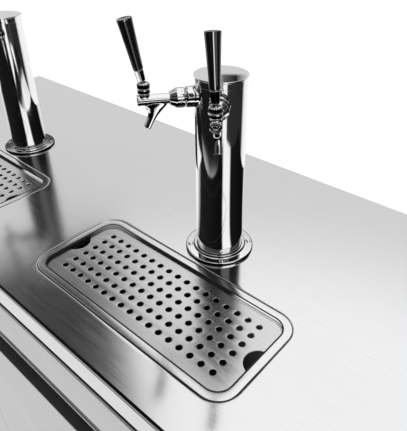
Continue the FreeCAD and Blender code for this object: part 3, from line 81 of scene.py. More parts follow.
def tap_frames():
    """For each tap: its matrix, a level matrix, and its lever's lean at rest.

    Both matrices sit on the tower's axis at the tap's level, with +X pointing out along the tap.
    The first also rolls with the tap, so that its Y is the lever's hinge.
    """
    frames = []
    for number in range(1, 5):
        hinge = JOINTS[f"tap_lever_{number}_tilt"]
        outwards = -Vector(JOINTS[f"tap_shaft_{number}_slide"]["axis"])
        across = Vector(hinge["axis"])
        upwards = outwards.cross(across)
        root = Vector(hinge["pos_m"]) - outwards * PIVOT_OUT - upwards * PIVOT_UP
        rolled = Matrix((outwards, across, upwards)).transposed().to_4x4()
        level = Matrix.Rotation(math.atan2(outwards.y, outwards.x), 4, "Z")
        stands_open = hinge["range_deg"][0] < -1
        frames.append((Matrix.Translation(root) @ rolled, Matrix.Translation(root) @ level,
                       OPEN_LEAN if stands_open else SHUT_LEAN))
    return frames


# ---------------------------------------------------------------- shader graphs

# What metal sees, as (compass degrees from +X, brightness): the floor, the walls, and the flat
# metal round a tower. The floor's and the flat metal's bands are painted reflections: those
# surfaces glow with them in mirrored rays.
FLOOR_BANDS = ((-180, 1.0), (-163, 1.0), (-143, 0.012), (-44, 0.005), (-41, 1.0), (-26, 1.0),
               (-23, 0.03), (52, 0.02), (62, 0.8), (74, 1.0), (180, 1.0))
WALL_BANDS = ((-180, 1.0), (-165, 0.9), (-127, 0.08), (-40, 0.05), (-35, 1.0), (2, 1.0),
              (8, 0.06), (72, 0.06), (86, 1.0), (100, 0.72), (165, 0.7), (180, 1.0))
MIRROR_BANDS = ((-180, 1.0), (-172, 0.85), (-146, 0.014), (-41, 0.003), (-36, 1.0),
                (-10, 1.0), (-4, 0.008), (78, 0.003), (94, 0.8), (180, 1.0))
# How much there is, by compass angle, of a dark flag high on the left, a bright soft box far off
# on the floor, a small dark card behind, and a tall narrow light. The soft box is a painted
# reflection that the floor glows with in mirrored rays, and the tall narrow light is a painted
# glint on the black plastic. Rises are z of a unit vector.
FLAG_BANDS = ((-180, 1.0), (-150, 0.0), (143.5, 0.0), (147.5, 1.0), (180, 1.0))
FLAG_RISE = 0.55, 0.62
FLAG_TONE = (0.035, 0.035, 0.037)
PAINTED_SOFT_BOX_BANDS = ((-180, 0.0), (-64, 0.0), (-63, 1.0), (-59, 1.0), (-58, 0.0), (180, 0.0))
CARD_BANDS = ((-180, 0.0), (126.6, 0.0), (127.8, 1.0), (129.3, 1.0), (129.8, 0.0), (180, 0.0))
CARD_FOOT = 0.303, 0.307
CARD_TOP = 0.34, 0.36
CARD_TONE = (0.01, 0.01, 0.011)
PAINTED_STREAK_BANDS = ((-180, 0.0), (-49, 0.0), (-45, 1.0), (-38, 1.0), (-34, 0.0), (180, 0.0))
PAINTED_STREAK_RISE = -0.33, -0.2
PAINTED_STREAK_LEVELS = 0.08, 0.9
# In mirrored rays the floor's painted reflection is pale up to this far from a tower, in metres,
# and the painted soft box starts farther off.
PALE_WITHIN, PALE_FADE = 1.7, 0.4
PALE_FLOOR = (0.82, 0.82, 0.82)
FAR_OFF, FAR_FADE = 4.1, 0.3
# Where the white roof starts, over dark walls and over bright ones, and how softly.
EAVES = 0.84, 0.55
BRIGHT_WALL = 0.7
ROOF_FADE = 0.14
DIFFUSE_LIGHT = 1.15
FLOOR_HALF = 9.0
WHITE = (1.0, 1.0, 1.0)
# The dark of the painted reflections on round fittings.
PAINTED_CARD_DARK = (0.008, 0.008, 0.009)
# The near black of the painted shade in a tray's bowl.
PAINTED_BOWL_SHADE = (0.022, 0.022, 0.024)
# Painted reflections and painted highlights of the small round fittings, as (z of the mirrored
# ray, brightness).
TAP_PAINTED_CARDS = ((-1.0, 0.1), (-0.97, 0.1), (-0.94, 0.0), (-0.68, 0.0), (-0.64, 0.9), (-0.46, 0.9),
             (-0.42, 0.0), (-0.06, 0.0), (0.02, 1.0), (0.3, 1.0), (0.34, 0.12), (0.44, 0.12),
             (0.5, 1.0), (1.0, 1.0))
TAP_PAINTED_GLEAM = ((-1.0, 0.0), (-0.66, 0.0), (-0.62, 0.4), (-0.53, 0.4), (-0.48, 0.0), (1.0, 0.0))
FLANGE_PAINTED_CARDS = ((-1.0, 0.0), (-0.2, 0.0), (-0.1, 0.7), (0.0, 0.0), (0.42, 0.02), (0.49, 1.0),
                (1.0, 1.0))


class Shader:
    """A material or world node tree, with short calls for the nodes used here."""

    def __init__(self, owner):
        owner.use_nodes = True
        self.tree = owner.node_tree
        self.tree.nodes.clear()
        kind = "World" if isinstance(owner, bpy.types.World) else "Material"
        self.output = self.tree.nodes.new(f"ShaderNodeOutput{kind}")

    def add(self, kind, *values, out=0, **settings):
        made = self.tree.nodes.new(kind)
        for key, value in settings.items():
            setattr(made, key, value)
        for index, value in enumerate(values):
            self.feed(made.inputs[index], value)
        return made.outputs[out]

    def feed(self, socket, value):
        if isinstance(value, bpy.types.NodeSocket):
            self.tree.links.new(value, socket)
        elif value is not None:
            socket.default_value = value

    def coords(self, scale=(1, 1, 1)):
        texture = self.tree.nodes.new("ShaderNodeTexCoord")
        mapping = self.tree.nodes.new("ShaderNodeMapping")
        self.tree.links.new(texture.outputs["Object"], mapping.inputs["Vector"])
        mapping.inputs["Scale"].default_value = scale
        return mapping.outputs[0]

    def noise(self, scale, detail, rough):
        made = self.tree.nodes.new("ShaderNodeTexNoise")
        self.tree.links.new(self.coords(scale), made.inputs["Vector"])
        made.inputs["Scale"].default_value = 1.0
        made.inputs["Detail"].default_value = detail
        made.inputs["Roughness"].default_value = rough
        return made.outputs["Fac"]

    def maths(self, operation, first, second=None, third=None):
        return self.add("ShaderNodeMath", first, second, third, operation=operation)

    def span(self, value, low, high, from_low=0.3, from_high=0.7):
        """A value spread from one range to another, clamped."""
        return self.add("ShaderNodeMapRange", value, from_low, from_high, low, high)

    def ramp(self, value, stops):
        made = self.tree.nodes.new("ShaderNodeValToRGB")
        self.feed(made.inputs[0], value)
        band = made.color_ramp
        band.interpolation = "LINEAR"
        while len(band.elements) < len(stops):
            band.elements.new(1.0)
        for element, (place, colour) in zip(band.elements, stops):
            element.position = place
            element.color = grey(colour) if isinstance(colour, (int, float)) else (*colour, 1.0)
        return made.outputs[0]

    def tint(self, share, first, second):
        made = self.tree.nodes.new("ShaderNodeMix")
        made.data_type = "RGBA"
        self.feed(made.inputs["Factor"], share)
        self.feed(made.inputs[6], first if not isinstance(first, tuple) else (*first[:3], 1.0))
        self.feed(made.inputs[7], second if not isinstance(second, tuple) else (*second[:3], 1.0))
        return made.outputs[2]

    def bump(self, height, depth, strength=1.0, under=None):
        made = self.tree.nodes.new("ShaderNodeBump")
        self.feed(made.inputs["Height"], height)
        made.inputs["Distance"].default_value = depth
        made.inputs["Strength"].default_value = strength
        if under is not None:
            self.tree.links.new(under, made.inputs["Normal"])
        return made.outputs[0]

    def surface(self, **inputs):
        made = self.tree.nodes.new("ShaderNodeBsdfPrincipled")
        for key, value in inputs.items():
            name = key.replace("_", " ").title().replace("Ior", "IOR")
            if isinstance(value, tuple) and len(value) == 3 and name.endswith("Color"):
                value = (*value, 1.0)
            self.feed(made.inputs[name], value)
        self.tree.links.new(made.outputs[0], self.output.inputs[0])
        return made

    def split(self, vector):
        parts = self.tree.nodes.new("ShaderNodeSeparateXYZ")
        self.feed(parts.inputs[0], vector)
        return parts.outputs

    def mirrored(self):
        """The direction a mirror would show at this spot, as x, y and z."""
        return self.split(self.add("ShaderNodeTexCoord", out=6))

    def compass(self, x, y, bands):
        """A brightness looked up by compass angle, in degrees from +X."""
        turn = self.maths("ADD", self.maths("DIVIDE", self.maths("ARCTAN2", y, x),
                                            2 * math.pi), 0.5)
        return self.ramp(turn, [(degrees / 360 + 0.5, level) for degrees, level in bands])

    def in_mirrors(self, own, bands, far_bands=None):
        """Show a painted reflection of bands round the nearer tower instead of the surface itself.

        far_bands is for the floor, whose painted reflection is pale near the tower and has a painted
        soft box far off.
        """
        x, y, _ = self.split(self.add("ShaderNodeNewGeometry"))
        nearer = self.maths("MULTIPLY", self.maths("SIGN", x), TOWER_XS[1])
        x = self.maths("SUBTRACT", x, nearer)
        level = self.compass(x, y, bands)
        if far_bands:
            reach = self.maths("SQRT", self.maths("ADD", self.maths("MULTIPLY", x, x),
                                                  self.maths("MULTIPLY", y, y)))
            level = self.tint(self.span(reach, 1.0, 0.0, PALE_WITHIN, PALE_WITHIN + PALE_FADE),
                              level, PALE_FLOOR)
            far = self.maths("MULTIPLY", self.compass(x, y, far_bands),
                             self.span(reach, 0.0, 1.0, FAR_OFF, FAR_OFF + FAR_FADE))
            level = self.tint(far, level, WHITE)
        # Painted reflection: mirrored rays see an emission of the bands, not the surface.
        seen = self.add("ShaderNodeEmission", level, 1.0)
        rays = self.tree.nodes.new("ShaderNodeLightPath")
        mixed = self.add("ShaderNodeMixShader", rays.outputs["Is Glossy Ray"],
                         own.outputs[0], seen)
        self.tree.links.new(mixed, self.output.inputs[0])


def grey(level):
    return (level, level, level, 1.0)


def new_shader(name):
    material = bpy.data.materials.new(name)
    return material, Shader(material)


def brushed(name, tone, rough, axis="x", grain=0.5, stretch=0.6, shade_below=None,
            under_taps=False):
    """Brushed sheet steel: fine grain along one axis, soft stains and a few deeper strokes.

    shade_below is a height under which painted shade darkens the metal, which also gets rougher.
    under_taps is for the flat metal round the towers: chrome sees the studio's bands in it, painted
    as an emission that mirrored rays see instead of the steel.
    """
    material, shader = new_shader(name)
    along = {"x": 0, "y": 1, "z": 2}[axis]
    fine = [1400.0] * 3
    fine[along] = 9.0
    broad = [260.0] * 3
    broad[along] = 2.0
    lines = shader.noise(tuple(fine), 3.0, 0.7)
    strokes = shader.noise(tuple(broad), 2.0, 0.5)
    stains = shader.noise((5, 5, 5), 4.0, 0.55)
    tone_low = tuple(channel * (1 - 0.2 * grain) for channel in tone)
    colour = shader.tint(shader.span(lines, 0, 1), tone_low, tone)
    colour = shader.tint(shader.span(stains, 0.0, 0.35), colour, tuple(c * 0.9 for c in tone))
    roughness = shader.maths("ADD", shader.span(lines, rough - 0.04, rough + 0.05),
                             shader.span(stains, -0.02, 0.04))
    # Painted shade: under the given height the colour darkens to near black, and the metal gets rougher.
    if shade_below is not None:
        depth = shader.span(shader.split(shader.coords())[2], 1.0, 0.0, shade_below - 1 * MM,
                            shade_below + 1 * MM)
        colour = shader.tint(depth, colour, PAINTED_BOWL_SHADE)
        roughness = shader.maths("ADD", roughness, shader.maths("MULTIPLY", depth, 0.35))
    relief = shader.bump(lines, 0.000008, grain)
    relief = shader.bump(strokes, 0.00001, 0.35 * grain, relief)
    direction = [0.03, 0.05, 0.02]
    direction[along] = 1.0
    facing = shader.add("ShaderNodeNewGeometry", out=1)
    across = shader.add("ShaderNodeVectorMath", facing, tuple(direction),
                        operation="CROSS_PRODUCT")
    steel = shader.surface(base_color=colour, metallic=1.0, roughness=roughness, normal=relief,
                           anisotropic=stretch, tangent=across)
    # Painted reflection round the towers: mirrored rays see bands, not this steel.
    if under_taps:
        shader.in_mirrors(steel, MIRROR_BANDS)
    return material


def chrome(name, tone=(0.9, 0.905, 0.915), *, rough, wear, cards=(), gleam=(), again=1.0):
    """Mirror chrome with faint polishing marks and water-mark haze.

    Cards and gleam are brightnesses by the height of the mirrored ray, dark and light, as the
    cards round a studio table give small round fittings; both are painted: cards darken the colour
    as a painted reflection and gleam glows as a painted highlight. again dims the chrome's colour
    where other metal mirrors it, a painted darker reflection.
    """
    material, shader = new_shader(name)
    marks = shader.noise((900, 900, 60), 3.0, 0.7)
    haze = shader.noise((28, 28, 20), 5.0, 0.6)
    specks = shader.noise((1500, 1500, 1500), 2.0, 0.5)
    roughness = shader.maths("ADD", shader.span(haze, rough * 0.5, rough * 1.8),
                             shader.span(marks, 0.0, 0.03 * wear))
    colour = shader.tint(shader.span(haze, 0, 0.5), tone, tuple(c * 0.93 for c in tone))
    height = shader.span(shader.mirrored()[2], 0.0, 1.0, -1.0, 1.0)
    glow = 0.0
    # Painted reflection: the colour darkens by the mirrored ray's height.
    if cards:
        level = shader.ramp(height, [((rise + 1) / 2, bright) for rise, bright in cards])
        colour = shader.tint(level, PAINTED_CARD_DARK, colour)
    # Painted highlight: an emission by the mirrored ray's height.
    if gleam:
        glow = shader.ramp(height, [((rise + 1) / 2, bright) for rise, bright in gleam])
    # Painted darker reflection: the colour dims in rays from other metal.
    if again < 1:
        rays = shader.add("ShaderNodeLightPath", out=3)
        colour = shader.tint(rays, colour, tuple(c * again for c in tone))
    relief = shader.bump(marks, 0.000006, wear)
    relief = shader.bump(specks, 0.000004, wear, relief)
    shader.surface(base_color=colour, metallic=1.0, roughness=roughness, normal=relief,
                   emission_color=WHITE, emission_strength=glow)
    return material


def plastic(name, colour, rough, texture=900.0, depth=0.00003, coat=0.0, streak=()):
    """Moulded plastic or rubber with a fine skin, scuffs and slight colour drift.

    A streak is a painted glint, as of a tall narrow light, given as compass bands: the plastic
    glows with it.
    """
    material, shader = new_shader(name)
    skin = shader.noise((texture,) * 3, 3.0, 0.55)
    scuffs = shader.noise((40, 40, 12), 5.0, 0.7)
    shade = shader.tint(shader.span(scuffs, 0.0, 0.6), colour,
                        tuple(min(1.0, c * 1.25 + 0.004) for c in colour))
    roughness = shader.maths("ADD", shader.span(scuffs, rough * 0.75, rough * 1.3),
                             shader.span(skin, -0.02, 0.03))
    glint = 0.0
    # Painted highlight: the plastic glows by the mirrored ray's direction.
    if streak:
        x, y, z = shader.mirrored()
        glint = shader.maths("MULTIPLY", shader.compass(x, y, streak),
                             shader.span(z, *PAINTED_STREAK_LEVELS, *PAINTED_STREAK_RISE))
    shader.surface(base_color=shade, roughness=roughness, normal=shader.bump(skin, depth, 0.6),
                   coat_weight=coat, coat_roughness=0.06, emission_color=WHITE,
                   emission_strength=glint)
    return material


def metal(name, tone, rough, texture=300.0, depth=0.00003, edge=0.15):
    """Plain metal: cast, drawn or plated, with mottling and soft dents."""
    material, shader = new_shader(name)
    mottle = shader.noise((texture,) * 3, 4.0, 0.6)
    clouds = shader.noise((18, 18, 18), 4.0, 0.6)
    shade = shader.tint(shader.span(clouds, 0.0, 1.0), tone,
                        tuple(channel * (1 - edge) for channel in tone))
    roughness = shader.maths("ADD", shader.span(mottle, rough - 0.04, rough + 0.06),
                             shader.span(clouds, -0.03, 0.05))
    shader.surface(base_color=shade, metallic=1.0, roughness=roughness,
                   normal=shader.bump(mottle, depth, 0.5))
    return material


def painted(name, colour, rough):
    """Sprayed paint with orange peel and dust."""
    material, shader = new_shader(name)
    peel = shader.noise((220, 220, 220), 2.0, 0.5)
    dust = shader.noise((14, 14, 30), 5.0, 0.7)
    shade = shader.tint(shader.span(dust, 0.0, 0.3, 0.45, 0.75), colour, (0.35, 0.34, 0.32))
    shader.surface(base_color=shade, roughness=shader.span(peel, rough, rough + 0.12),
                   normal=shader.bump(peel, 0.00008, 0.4), specular_ior_level=0.5)
    return material


def clear_tube(name, colour, rough=0.12):
    """Soft vinyl hose: part clear, faintly tinted."""
    material, shader = new_shader(name)
    ripple = shader.noise((60, 60, 60), 3.0, 0.5)
    shader.surface(base_color=shader.tint(shader.span(ripple, 0, 0.4), colour,
                                          tuple(c * 0.85 for c in colour)),
                   roughness=shader.span(ripple, rough, rough + 0.1), transmission_weight=0.55,
                   ior=1.45, normal=shader.bump(ripple, 0.0001, 0.3))
    return material


def board(name):
    """Plywood edge and face."""
    material, shader = new_shader(name)
    grain = shader.noise((3, 160, 160), 5.0, 0.6)
    shader.surface(base_color=shader.ramp(grain, ((0.3, (0.42, 0.29, 0.17)),
                                                  (0.7, (0.66, 0.5, 0.33)))),
                   roughness=0.7, normal=shader.bump(grain, 0.0003, 0.5))
    return material


def foam(name, colour):
    """Rigid foam: matt, with small cells."""
    material, shader = new_shader(name)
    cells = shader.tree.nodes.new("ShaderNodeTexVoronoi")
    shader.feed(cells.inputs["Vector"], shader.coords((700, 700, 700)))
    distance = cells.outputs["Distance"]
    shader.surface(base_color=shader.tint(distance, colour, tuple(c * 0.8 for c in colour)),
                   roughness=0.9, normal=shader.bump(distance, 0.0003, 0.5))
    return material


# The worktop, trays and grates show painted reflections of bands in mirrored rays.
WORKTOP_STEEL = brushed("worktop_steel", (0.91, 0.91, 0.92), 0.12, "x", 0.5, 0.4,
                        under_taps=True)
FRONT_STEEL = brushed("front_steel", (0.74, 0.74, 0.75), 0.30, "x", 0.7)
SIDE_STEEL = brushed("side_steel", (0.70, 0.70, 0.71), 0.33, "z", 0.7)
# The trays' steel is darkened under the grate as painted shade.
TRAY_STEEL = brushed("tray_steel", (0.92, 0.92, 0.93), 0.16, "x", 0.5, 0.4, GRATE_HIGH.z, True)
GRATE_STEEL = brushed("grate_steel", (0.8, 0.8, 0.81), 0.22, "x", 0.8, 0.4, under_taps=True)
LEG_STEEL = brushed("leg_steel", (0.6, 0.6, 0.62), 0.3, "z", 0.8)
# The tower columns are painted darker where other metal mirrors them.
TOWER_CHROME = chrome("tower_chrome", rough=0.05, wear=0.8, again=0.12)
# Taps and flanges are painted with dark and light reflections by the mirrored ray's height.
TAP_CHROME = chrome("tap_chrome", rough=0.03, wear=0.4, cards=TAP_PAINTED_CARDS, gleam=TAP_PAINTED_GLEAM)
FLANGE_CHROME = chrome("flange_chrome", rough=0.03, wear=0.4, cards=FLANGE_PAINTED_CARDS)
CAP_STEEL = chrome("cap_steel", (0.86, 0.86, 0.87), rough=0.012, wear=0.1)
# The black grips glow with a painted glint.
BLACK_GLOSS = plastic("black_gloss", (0.002, 0.002, 0.0022), 0.1, 500.0, 0.00001, 0.5,
                      PAINTED_STREAK_BANDS)
BLACK_GRIP = plastic("black_grip", (0.012, 0.012, 0.013), 0.42)
WHITE_PLASTIC = plastic("white_plastic", (0.8, 0.8, 0.78), 0.3, 300.0, 0.00002)
GASKET_RUBBER_AND_SHADE = plastic("gasket_rubber_and_painted_shade", (0.008, 0.008, 0.009), 0.6, 700.0, 0.00005)
CORD_RUBBER = plastic("cord_rubber", (0.015, 0.015, 0.016), 0.55, 600.0, 0.00005)

FINISHES = {
    "brushed_steel": SIDE_STEEL,
    "worktop_steel": WORKTOP_STEEL,
    "tray_steel": TRAY_STEEL,
    "grate_steel": GRATE_STEEL,
    "leg_steel": LEG_STEEL,
    "zinc_steel": metal("zinc_steel", (0.55, 0.56, 0.58), 0.42, 120.0),
    "liner": metal("liner_aluminium", (0.78, 0.79, 0.8), 0.38, 60.0, 0.0001, 0.06),
    "foam": foam("foam", (0.82, 0.74, 0.5)),
    "door_inner": WHITE_PLASTIC,
    "board": board("board"),
    "gasket": GASKET_RUBBER_AND_SHADE,
    "black_grip": BLACK_GRIP,
    "black_gloss": BLACK_GLOSS,
    "black_paint": painted("black_paint", (0.02, 0.02, 0.021), 0.35),
    "fin_aluminium": metal("fin_aluminium", (0.7, 0.71, 0.73), 0.45, 400.0),
    "fan_plastic": plastic("fan_plastic", (0.05, 0.05, 0.055), 0.4),
    "copper": metal("copper", (0.72, 0.36, 0.22), 0.3, 200.0, 0.00002, 0.4),
    "cord_rubber": CORD_RUBBER,
    "chrome": TAP_CHROME,
    "clear_hose": clear_tube("clear_hose", (0.86, 0.87, 0.84)),
    "gas_hose": clear_tube("gas_hose", (0.5, 0.03, 0.03), 0.2),
    "bottle_aluminium": metal("bottle_aluminium", (0.66, 0.67, 0.69), 0.3, 90.0, 0.00008),
    "wheel_green": painted("wheel_green", (0.02, 0.12, 0.05), 0.3),
    "brass": metal("brass", (0.78, 0.58, 0.27), 0.24, 300.0),
}
NODE_FINISHES = {
    "left_door_skin": FRONT_STEEL,
    "right_door_skin": FRONT_STEEL,
    "grille_panel": FRONT_STEEL,
    "tower_columns": TOWER_CHROME,
    "tower_caps": CAP_STEEL,
}


CAD_CREASE = 28


def finish_cad_nodes():
    """Give every CAD node its slot's material and smooth shading with crisp folds."""
    for entry in RECORD["subparts"]:
        name = entry["node"]
        mesh = NODES[name].data
        mesh.materials.clear()
        mesh.materials.append(NODE_FINISHES.get(name, FINISHES[entry["material_slot"]]))
        for face in mesh.polygons:
            face.use_smooth = True
        mesh.set_sharp_from_angle(angle=math.radians(CAD_CREASE))


# ---------------------------------------------------------------- mesh building

# Vertices closer than WELD, in metres, are joined; a radius under ON_AXIS, in mm, is a tip.
WELD = 1e-7
ON_AXIS = 1e-6


def to_object(name, work, material, body, replaces=(), crease=35):
    """Turn a bmesh into a piece that rides on a body."""
    bmesh.ops.recalc_face_normals(work, faces=work.faces)
    mesh = bpy.data.meshes.new(name)
    work.to_mesh(mesh)
    work.free()
    return piece_from_mesh(name, mesh, material, body, replaces, crease=crease)


def piece_from_mesh(name, mesh, material, body, replaces=(), matrix=None, crease=35):
    for face in mesh.polygons:
        face.use_smooth = True
    mesh.set_sharp_from_angle(angle=math.radians(crease))
    if not mesh.materials:
        mesh.materials.append(material)
    piece = bpy.data.objects.new(name, mesh)
    bpy.context.scene.collection.objects.link(piece)
    if matrix is not None:
        piece.matrix_world = matrix
    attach(piece, body)
    if replaces:
        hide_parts(*replaces)
    return piece


def rounded_profile(points, radius, steps):
    """Round every corner of a profile; a point may carry its own radius as a third value."""
    count = len(points)
    result = []
    for index in range(count):
        here = Vector(points[index][:2])
        own = points[index][2] if len(points[index]) > 2 else radius
        at_end = index in (0, count - 1)
        before = Vector(points[index - 1][:2])
        after = Vector(points[(index + 1) % count][:2])
        if at_end or own <= 0:
            result.append(here)
            continue
        back = before - here
        ahead = after - here
        reach = min(own, back.length * 0.49, ahead.length * 0.49)
        start = here + back.normalized() * reach
        end = here + ahead.normalized() * reach
        for step in range(steps + 1):
            share = step / steps
            result.append(start.lerp(here, share).lerp(here.lerp(end, share), share))
    return result


def lathe(work, profile, steps, matrix, wave=None):
    """Spin a profile of (radius, height) in mm about +Z, then place it.

    wave(angle, radius, height), if given, returns the radius to use there.
    """
    rings = []
    for radius, height in profile:
        if radius < ON_AXIS:
            rings.append([work.verts.new(matrix @ Vector((0, 0, height * MM)))])
            continue
        ring = []
        for step in range(steps):
            angle = 2 * math.pi * step / steps
            reach = wave(angle, radius, height) if wave else radius
            place = Vector((reach * math.cos(angle), reach * math.sin(angle), height)) * MM
            ring.append(work.verts.new(matrix @ place))
        rings.append(ring)
    for first, second in zip(rings, rings[1:]):
        bridge(work, first, second)


def bridge(work, first, second):
    """Faces between two closed rings; a ring of one vertex is a tip."""
    steps = max(len(first), len(second))
    for step in range(steps):
        after = (step + 1) % steps
        corners = [first[step % len(first)], first[after % len(first)],
                   second[after % len(second)], second[step % len(second)]]
        work.faces.new(list(dict.fromkeys(corners)))


LAY_X = Matrix.Rotation(math.pi / 2, 4, "Y")


def round_rect(half_x, half_y, corner, steps=10):
    """Outline points and outward normals of a rounded rectangle, anticlockwise, in mm."""
    outline = []
    for centre_x, centre_y, start in (
        (half_x - corner, half_y - corner, 0), (corner - half_x, half_y - corner, 90),
        (corner - half_x, corner - half_y, 180), (half_x - corner, corner - half_y, 270),
    ):
        for step in range(steps + 1):
            angle = math.radians(start + 90 * step / steps)
            normal = Vector((math.cos(angle), math.sin(angle)))
            outline.append((Vector((centre_x, centre_y)) + corner * normal, normal))
    return outline


def sweep(work, outline, profile, centre=(0, 0)):
    """Rings of vertices at (offset, height) from an outline, bridged in order."""
    rings = []
    for offset, height in profile:
        rings.append([
            work.verts.new(((centre[0] + (place + normal * offset).x) * MM,
                            (centre[1] + (place + normal * offset).y) * MM, height * MM))
            for place, normal in outline
        ])
    for first, second in zip(rings, rings[1:]):
        bridge(work, first, second)
    return rings


def fill(work, loops):
    """A flat face, in triangles, inside the first ring of vertices and outside the others."""
    vertices = [vertex for loop in loops for vertex in loop]
    triangles = tessellate_polygon([[vertex.co for vertex in loop] for loop in loops])
    for corners in triangles:
        try:
            work.faces.new([vertices[index] for index in corners])
        except ValueError:
            continue


def mm_point(vector):
    return (vector.x / MM, vector.y / MM)


# ---------------------------------------------------------------- worktop, trays and grates

# In mm: the recess round each tray, then the tray's sheet, how far its rim reaches out from its
# mouth, and how far the rim's lip turns down.
RECESS_HALF = (207, 89.5)
RECESS_CORNER = 37
RECESS_DEEP = 3.4
TRAY_SHEET = 1.2
TRAY_RIM = 12.0
TRAY_LIP = 3.2


def worktop():
    """The sheet: rolled outer edge, and a soft-shouldered recess round each tray."""
    work = bmesh.new()
    high = TOP_Z / MM
    low = WORKTOP_LOW.z / MM
    half_x = WORKTOP_HIGH.x / MM
    half_y = WORKTOP_HIGH.y / MM
    edge = round_rect(half_x, half_y, 2.5, 6)
    rolled = rounded_profile([(-6, high), (0, high, 2.2), (0, low, 0.7), (-1.5, low, 0.7),
                              (-1.5, high - 2)], 0.7, 6)
    rim = sweep(work, edge, rolled)
    holes = [rim[0]]
    shoulder = rounded_profile([(5, high), (0, high, 1.4), (0, high - RECESS_DEEP, 0.8),
                                (-11, high - RECESS_DEEP), (-11, high - 4.9)], 0.4, 5)
    for centre in GRATES.values():
        outline = round_rect(*RECESS_HALF, RECESS_CORNER)
        recess = sweep(work, outline, shoulder, mm_point(centre))
        holes.append(recess[0])
    fill(work, holes)
    to_object("worktop_sheet", work, WORKTOP_STEEL, "cabinet", ("worktop",),
              crease=40)


def trays():
    """Deep-drawn trays: flat rim with a rolled outer lip, step for the grate, sloping bowl."""
    high = TOP_Z / MM
    grate_half = (GRATE_HIGH.x - GRATE_LOW.x) / 2 / MM, (GRATE_HIGH.y - GRATE_LOW.y) / 2 / MM
    seat = GRATE_LOW.z / MM
    floor = high - 28
    for side, centre in GRATES.items():
        work = bmesh.new()
        mouth = round_rect(grate_half[0] + 1.3, grate_half[1] + 1.3, 21.3)
        profile = rounded_profile([
            (TRAY_RIM, high - TRAY_LIP), (TRAY_RIM, high, 0.9), (0, high, 1.1),
            (0, seat - 0.05, 0.8), (-5.4, seat - 0.05, 1.6), (-5.6, floor + 2, 8),
            (-22, floor, 4), (-40, floor - 0.2),
        ], 1.0, 6)
        rings = sweep(work, mouth, profile, mm_point(centre))
        fill(work, [rings[-1]])
        under = sweep(work, mouth, rounded_profile([
            (TRAY_RIM, high - TRAY_LIP), (11.0, high - TRAY_LIP), (11.0, high - TRAY_SHEET),
            (1.4, high - TRAY_SHEET), (1.4, seat - TRAY_SHEET), (-4.2, seat - TRAY_SHEET),
            (-4.2, floor - TRAY_SHEET, 6), (-40, floor - TRAY_SHEET),
        ], 0.4, 4), mm_point(centre))
        fill(work, [under[-1]])
        name = side.replace("grate", "drip_tray")
        to_object(name, work, TRAY_STEEL, "cabinet",
                  ("drip_trays",) if side == "left_grate" else (), crease=40)


def shade_strips():
    """Painted shade: black strips in each tray's groove and round its mouth, and on each door's top."""
    high = TOP_Z / MM
    for side, centre in GRATES.items():
        work = bmesh.new()
        half_x, half_y = RECESS_HALF
        # Painted shade: a strip low in the groove, and an edging round the mouth over the gap to the grate.
        for inset, width, base, top in ((0.3, 1.0, high - TRAY_LIP, high - 0.8),
                                        (12.5, 2.3, high - 0.4, high + 0.25)):
            outline = round_rect(half_x - inset, half_y - inset, RECESS_CORNER - inset)
            strip = sweep(work, outline, rounded_profile([
                (0, base), (0, top, 0.2), (-width, top, 0.2), (-width, base),
            ], 0.2, 4), mm_point(centre))
            bridge(work, strip[-1], strip[0])
        to_object(side.replace("grate", "tray_painted_shade"), work, GASKET_RUBBER_AND_SHADE, "cabinet")
    # Painted shade: a black strip on each door's top, in the shadow under the worktop.
    for side in ("left", "right"):
        low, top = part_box(f"{side}_door_skin")
        work = bmesh.new()
        centre = (low + top) / 2
        half_x = (top.x - low.x) / 2 / MM - 2.5
        edge = round_rect(half_x, (top.y - low.y) / 2 / MM - 2.6, 2, 4)
        base = top.z / MM
        rings = sweep(work, edge, rounded_profile(
            [(0, base - 0.1), (0, base + 1.4, 0.5), (-1, base + 1.8, 0.5), (-8, base + 1.8)],
            0.4, 4), mm_point(centre))
        fill(work, [rings[-1]])
        fill(work, [rings[0]])
        to_object(f"{side}_door_top_painted_shade", work, GASKET_RUBBER_AND_SHADE, f"{side}_door")


def arc(centre, radius, first, last, steps, flip=1):
    """Places and outward normals along an arc, in degrees; flip -1 turns the normals inwards."""
    places = []
    for step in range(steps + 1):
        angle = math.radians(first + (last - first) * step / steps)
        normal = Vector((math.cos(angle), math.sin(angle)))
        places.append((Vector(centre) + radius * normal, flip * normal))
    return places


def grate_outline():
    """The plate's outline, anticlockwise, with a bell-mouthed finger notch in each short end."""
    half_x = (GRATE_HIGH.x - GRATE_LOW.x) / 2 / MM
    half_y = (GRATE_HIGH.y - GRATE_LOW.y) / 2 / MM
    corner = 20
    notch_rad = 21.5
    notch_x = half_x + 4.5
    mouth_rad = 7.0
    mouth_x = half_x - mouth_rad
    mouth_y = math.sqrt((notch_rad + mouth_rad) ** 2 - (notch_x - mouth_x) ** 2)
    turn = math.degrees(math.atan2(mouth_y, notch_x - mouth_x))
    notch = arc((notch_x, 0), notch_rad, 180 + turn, 180 - turn, 24, -1)
    right_half = (arc((mouth_x, -mouth_y), mouth_rad, 0, turn, 8) + notch[1:-1]
                  + arc((mouth_x, mouth_y), mouth_rad, -turn, 0, 8)
                  + arc((half_x - corner, half_y - corner), corner, 0, 90, 12))
    back_left = arc((corner - half_x, half_y - corner), corner, 90, 180, 12)
    front_right = arc((half_x - corner, corner - half_y), corner, 270, 360, 12)
    left_half = [(-place, -normal) for place, normal in right_half]
    return right_half + back_left + left_half + front_right


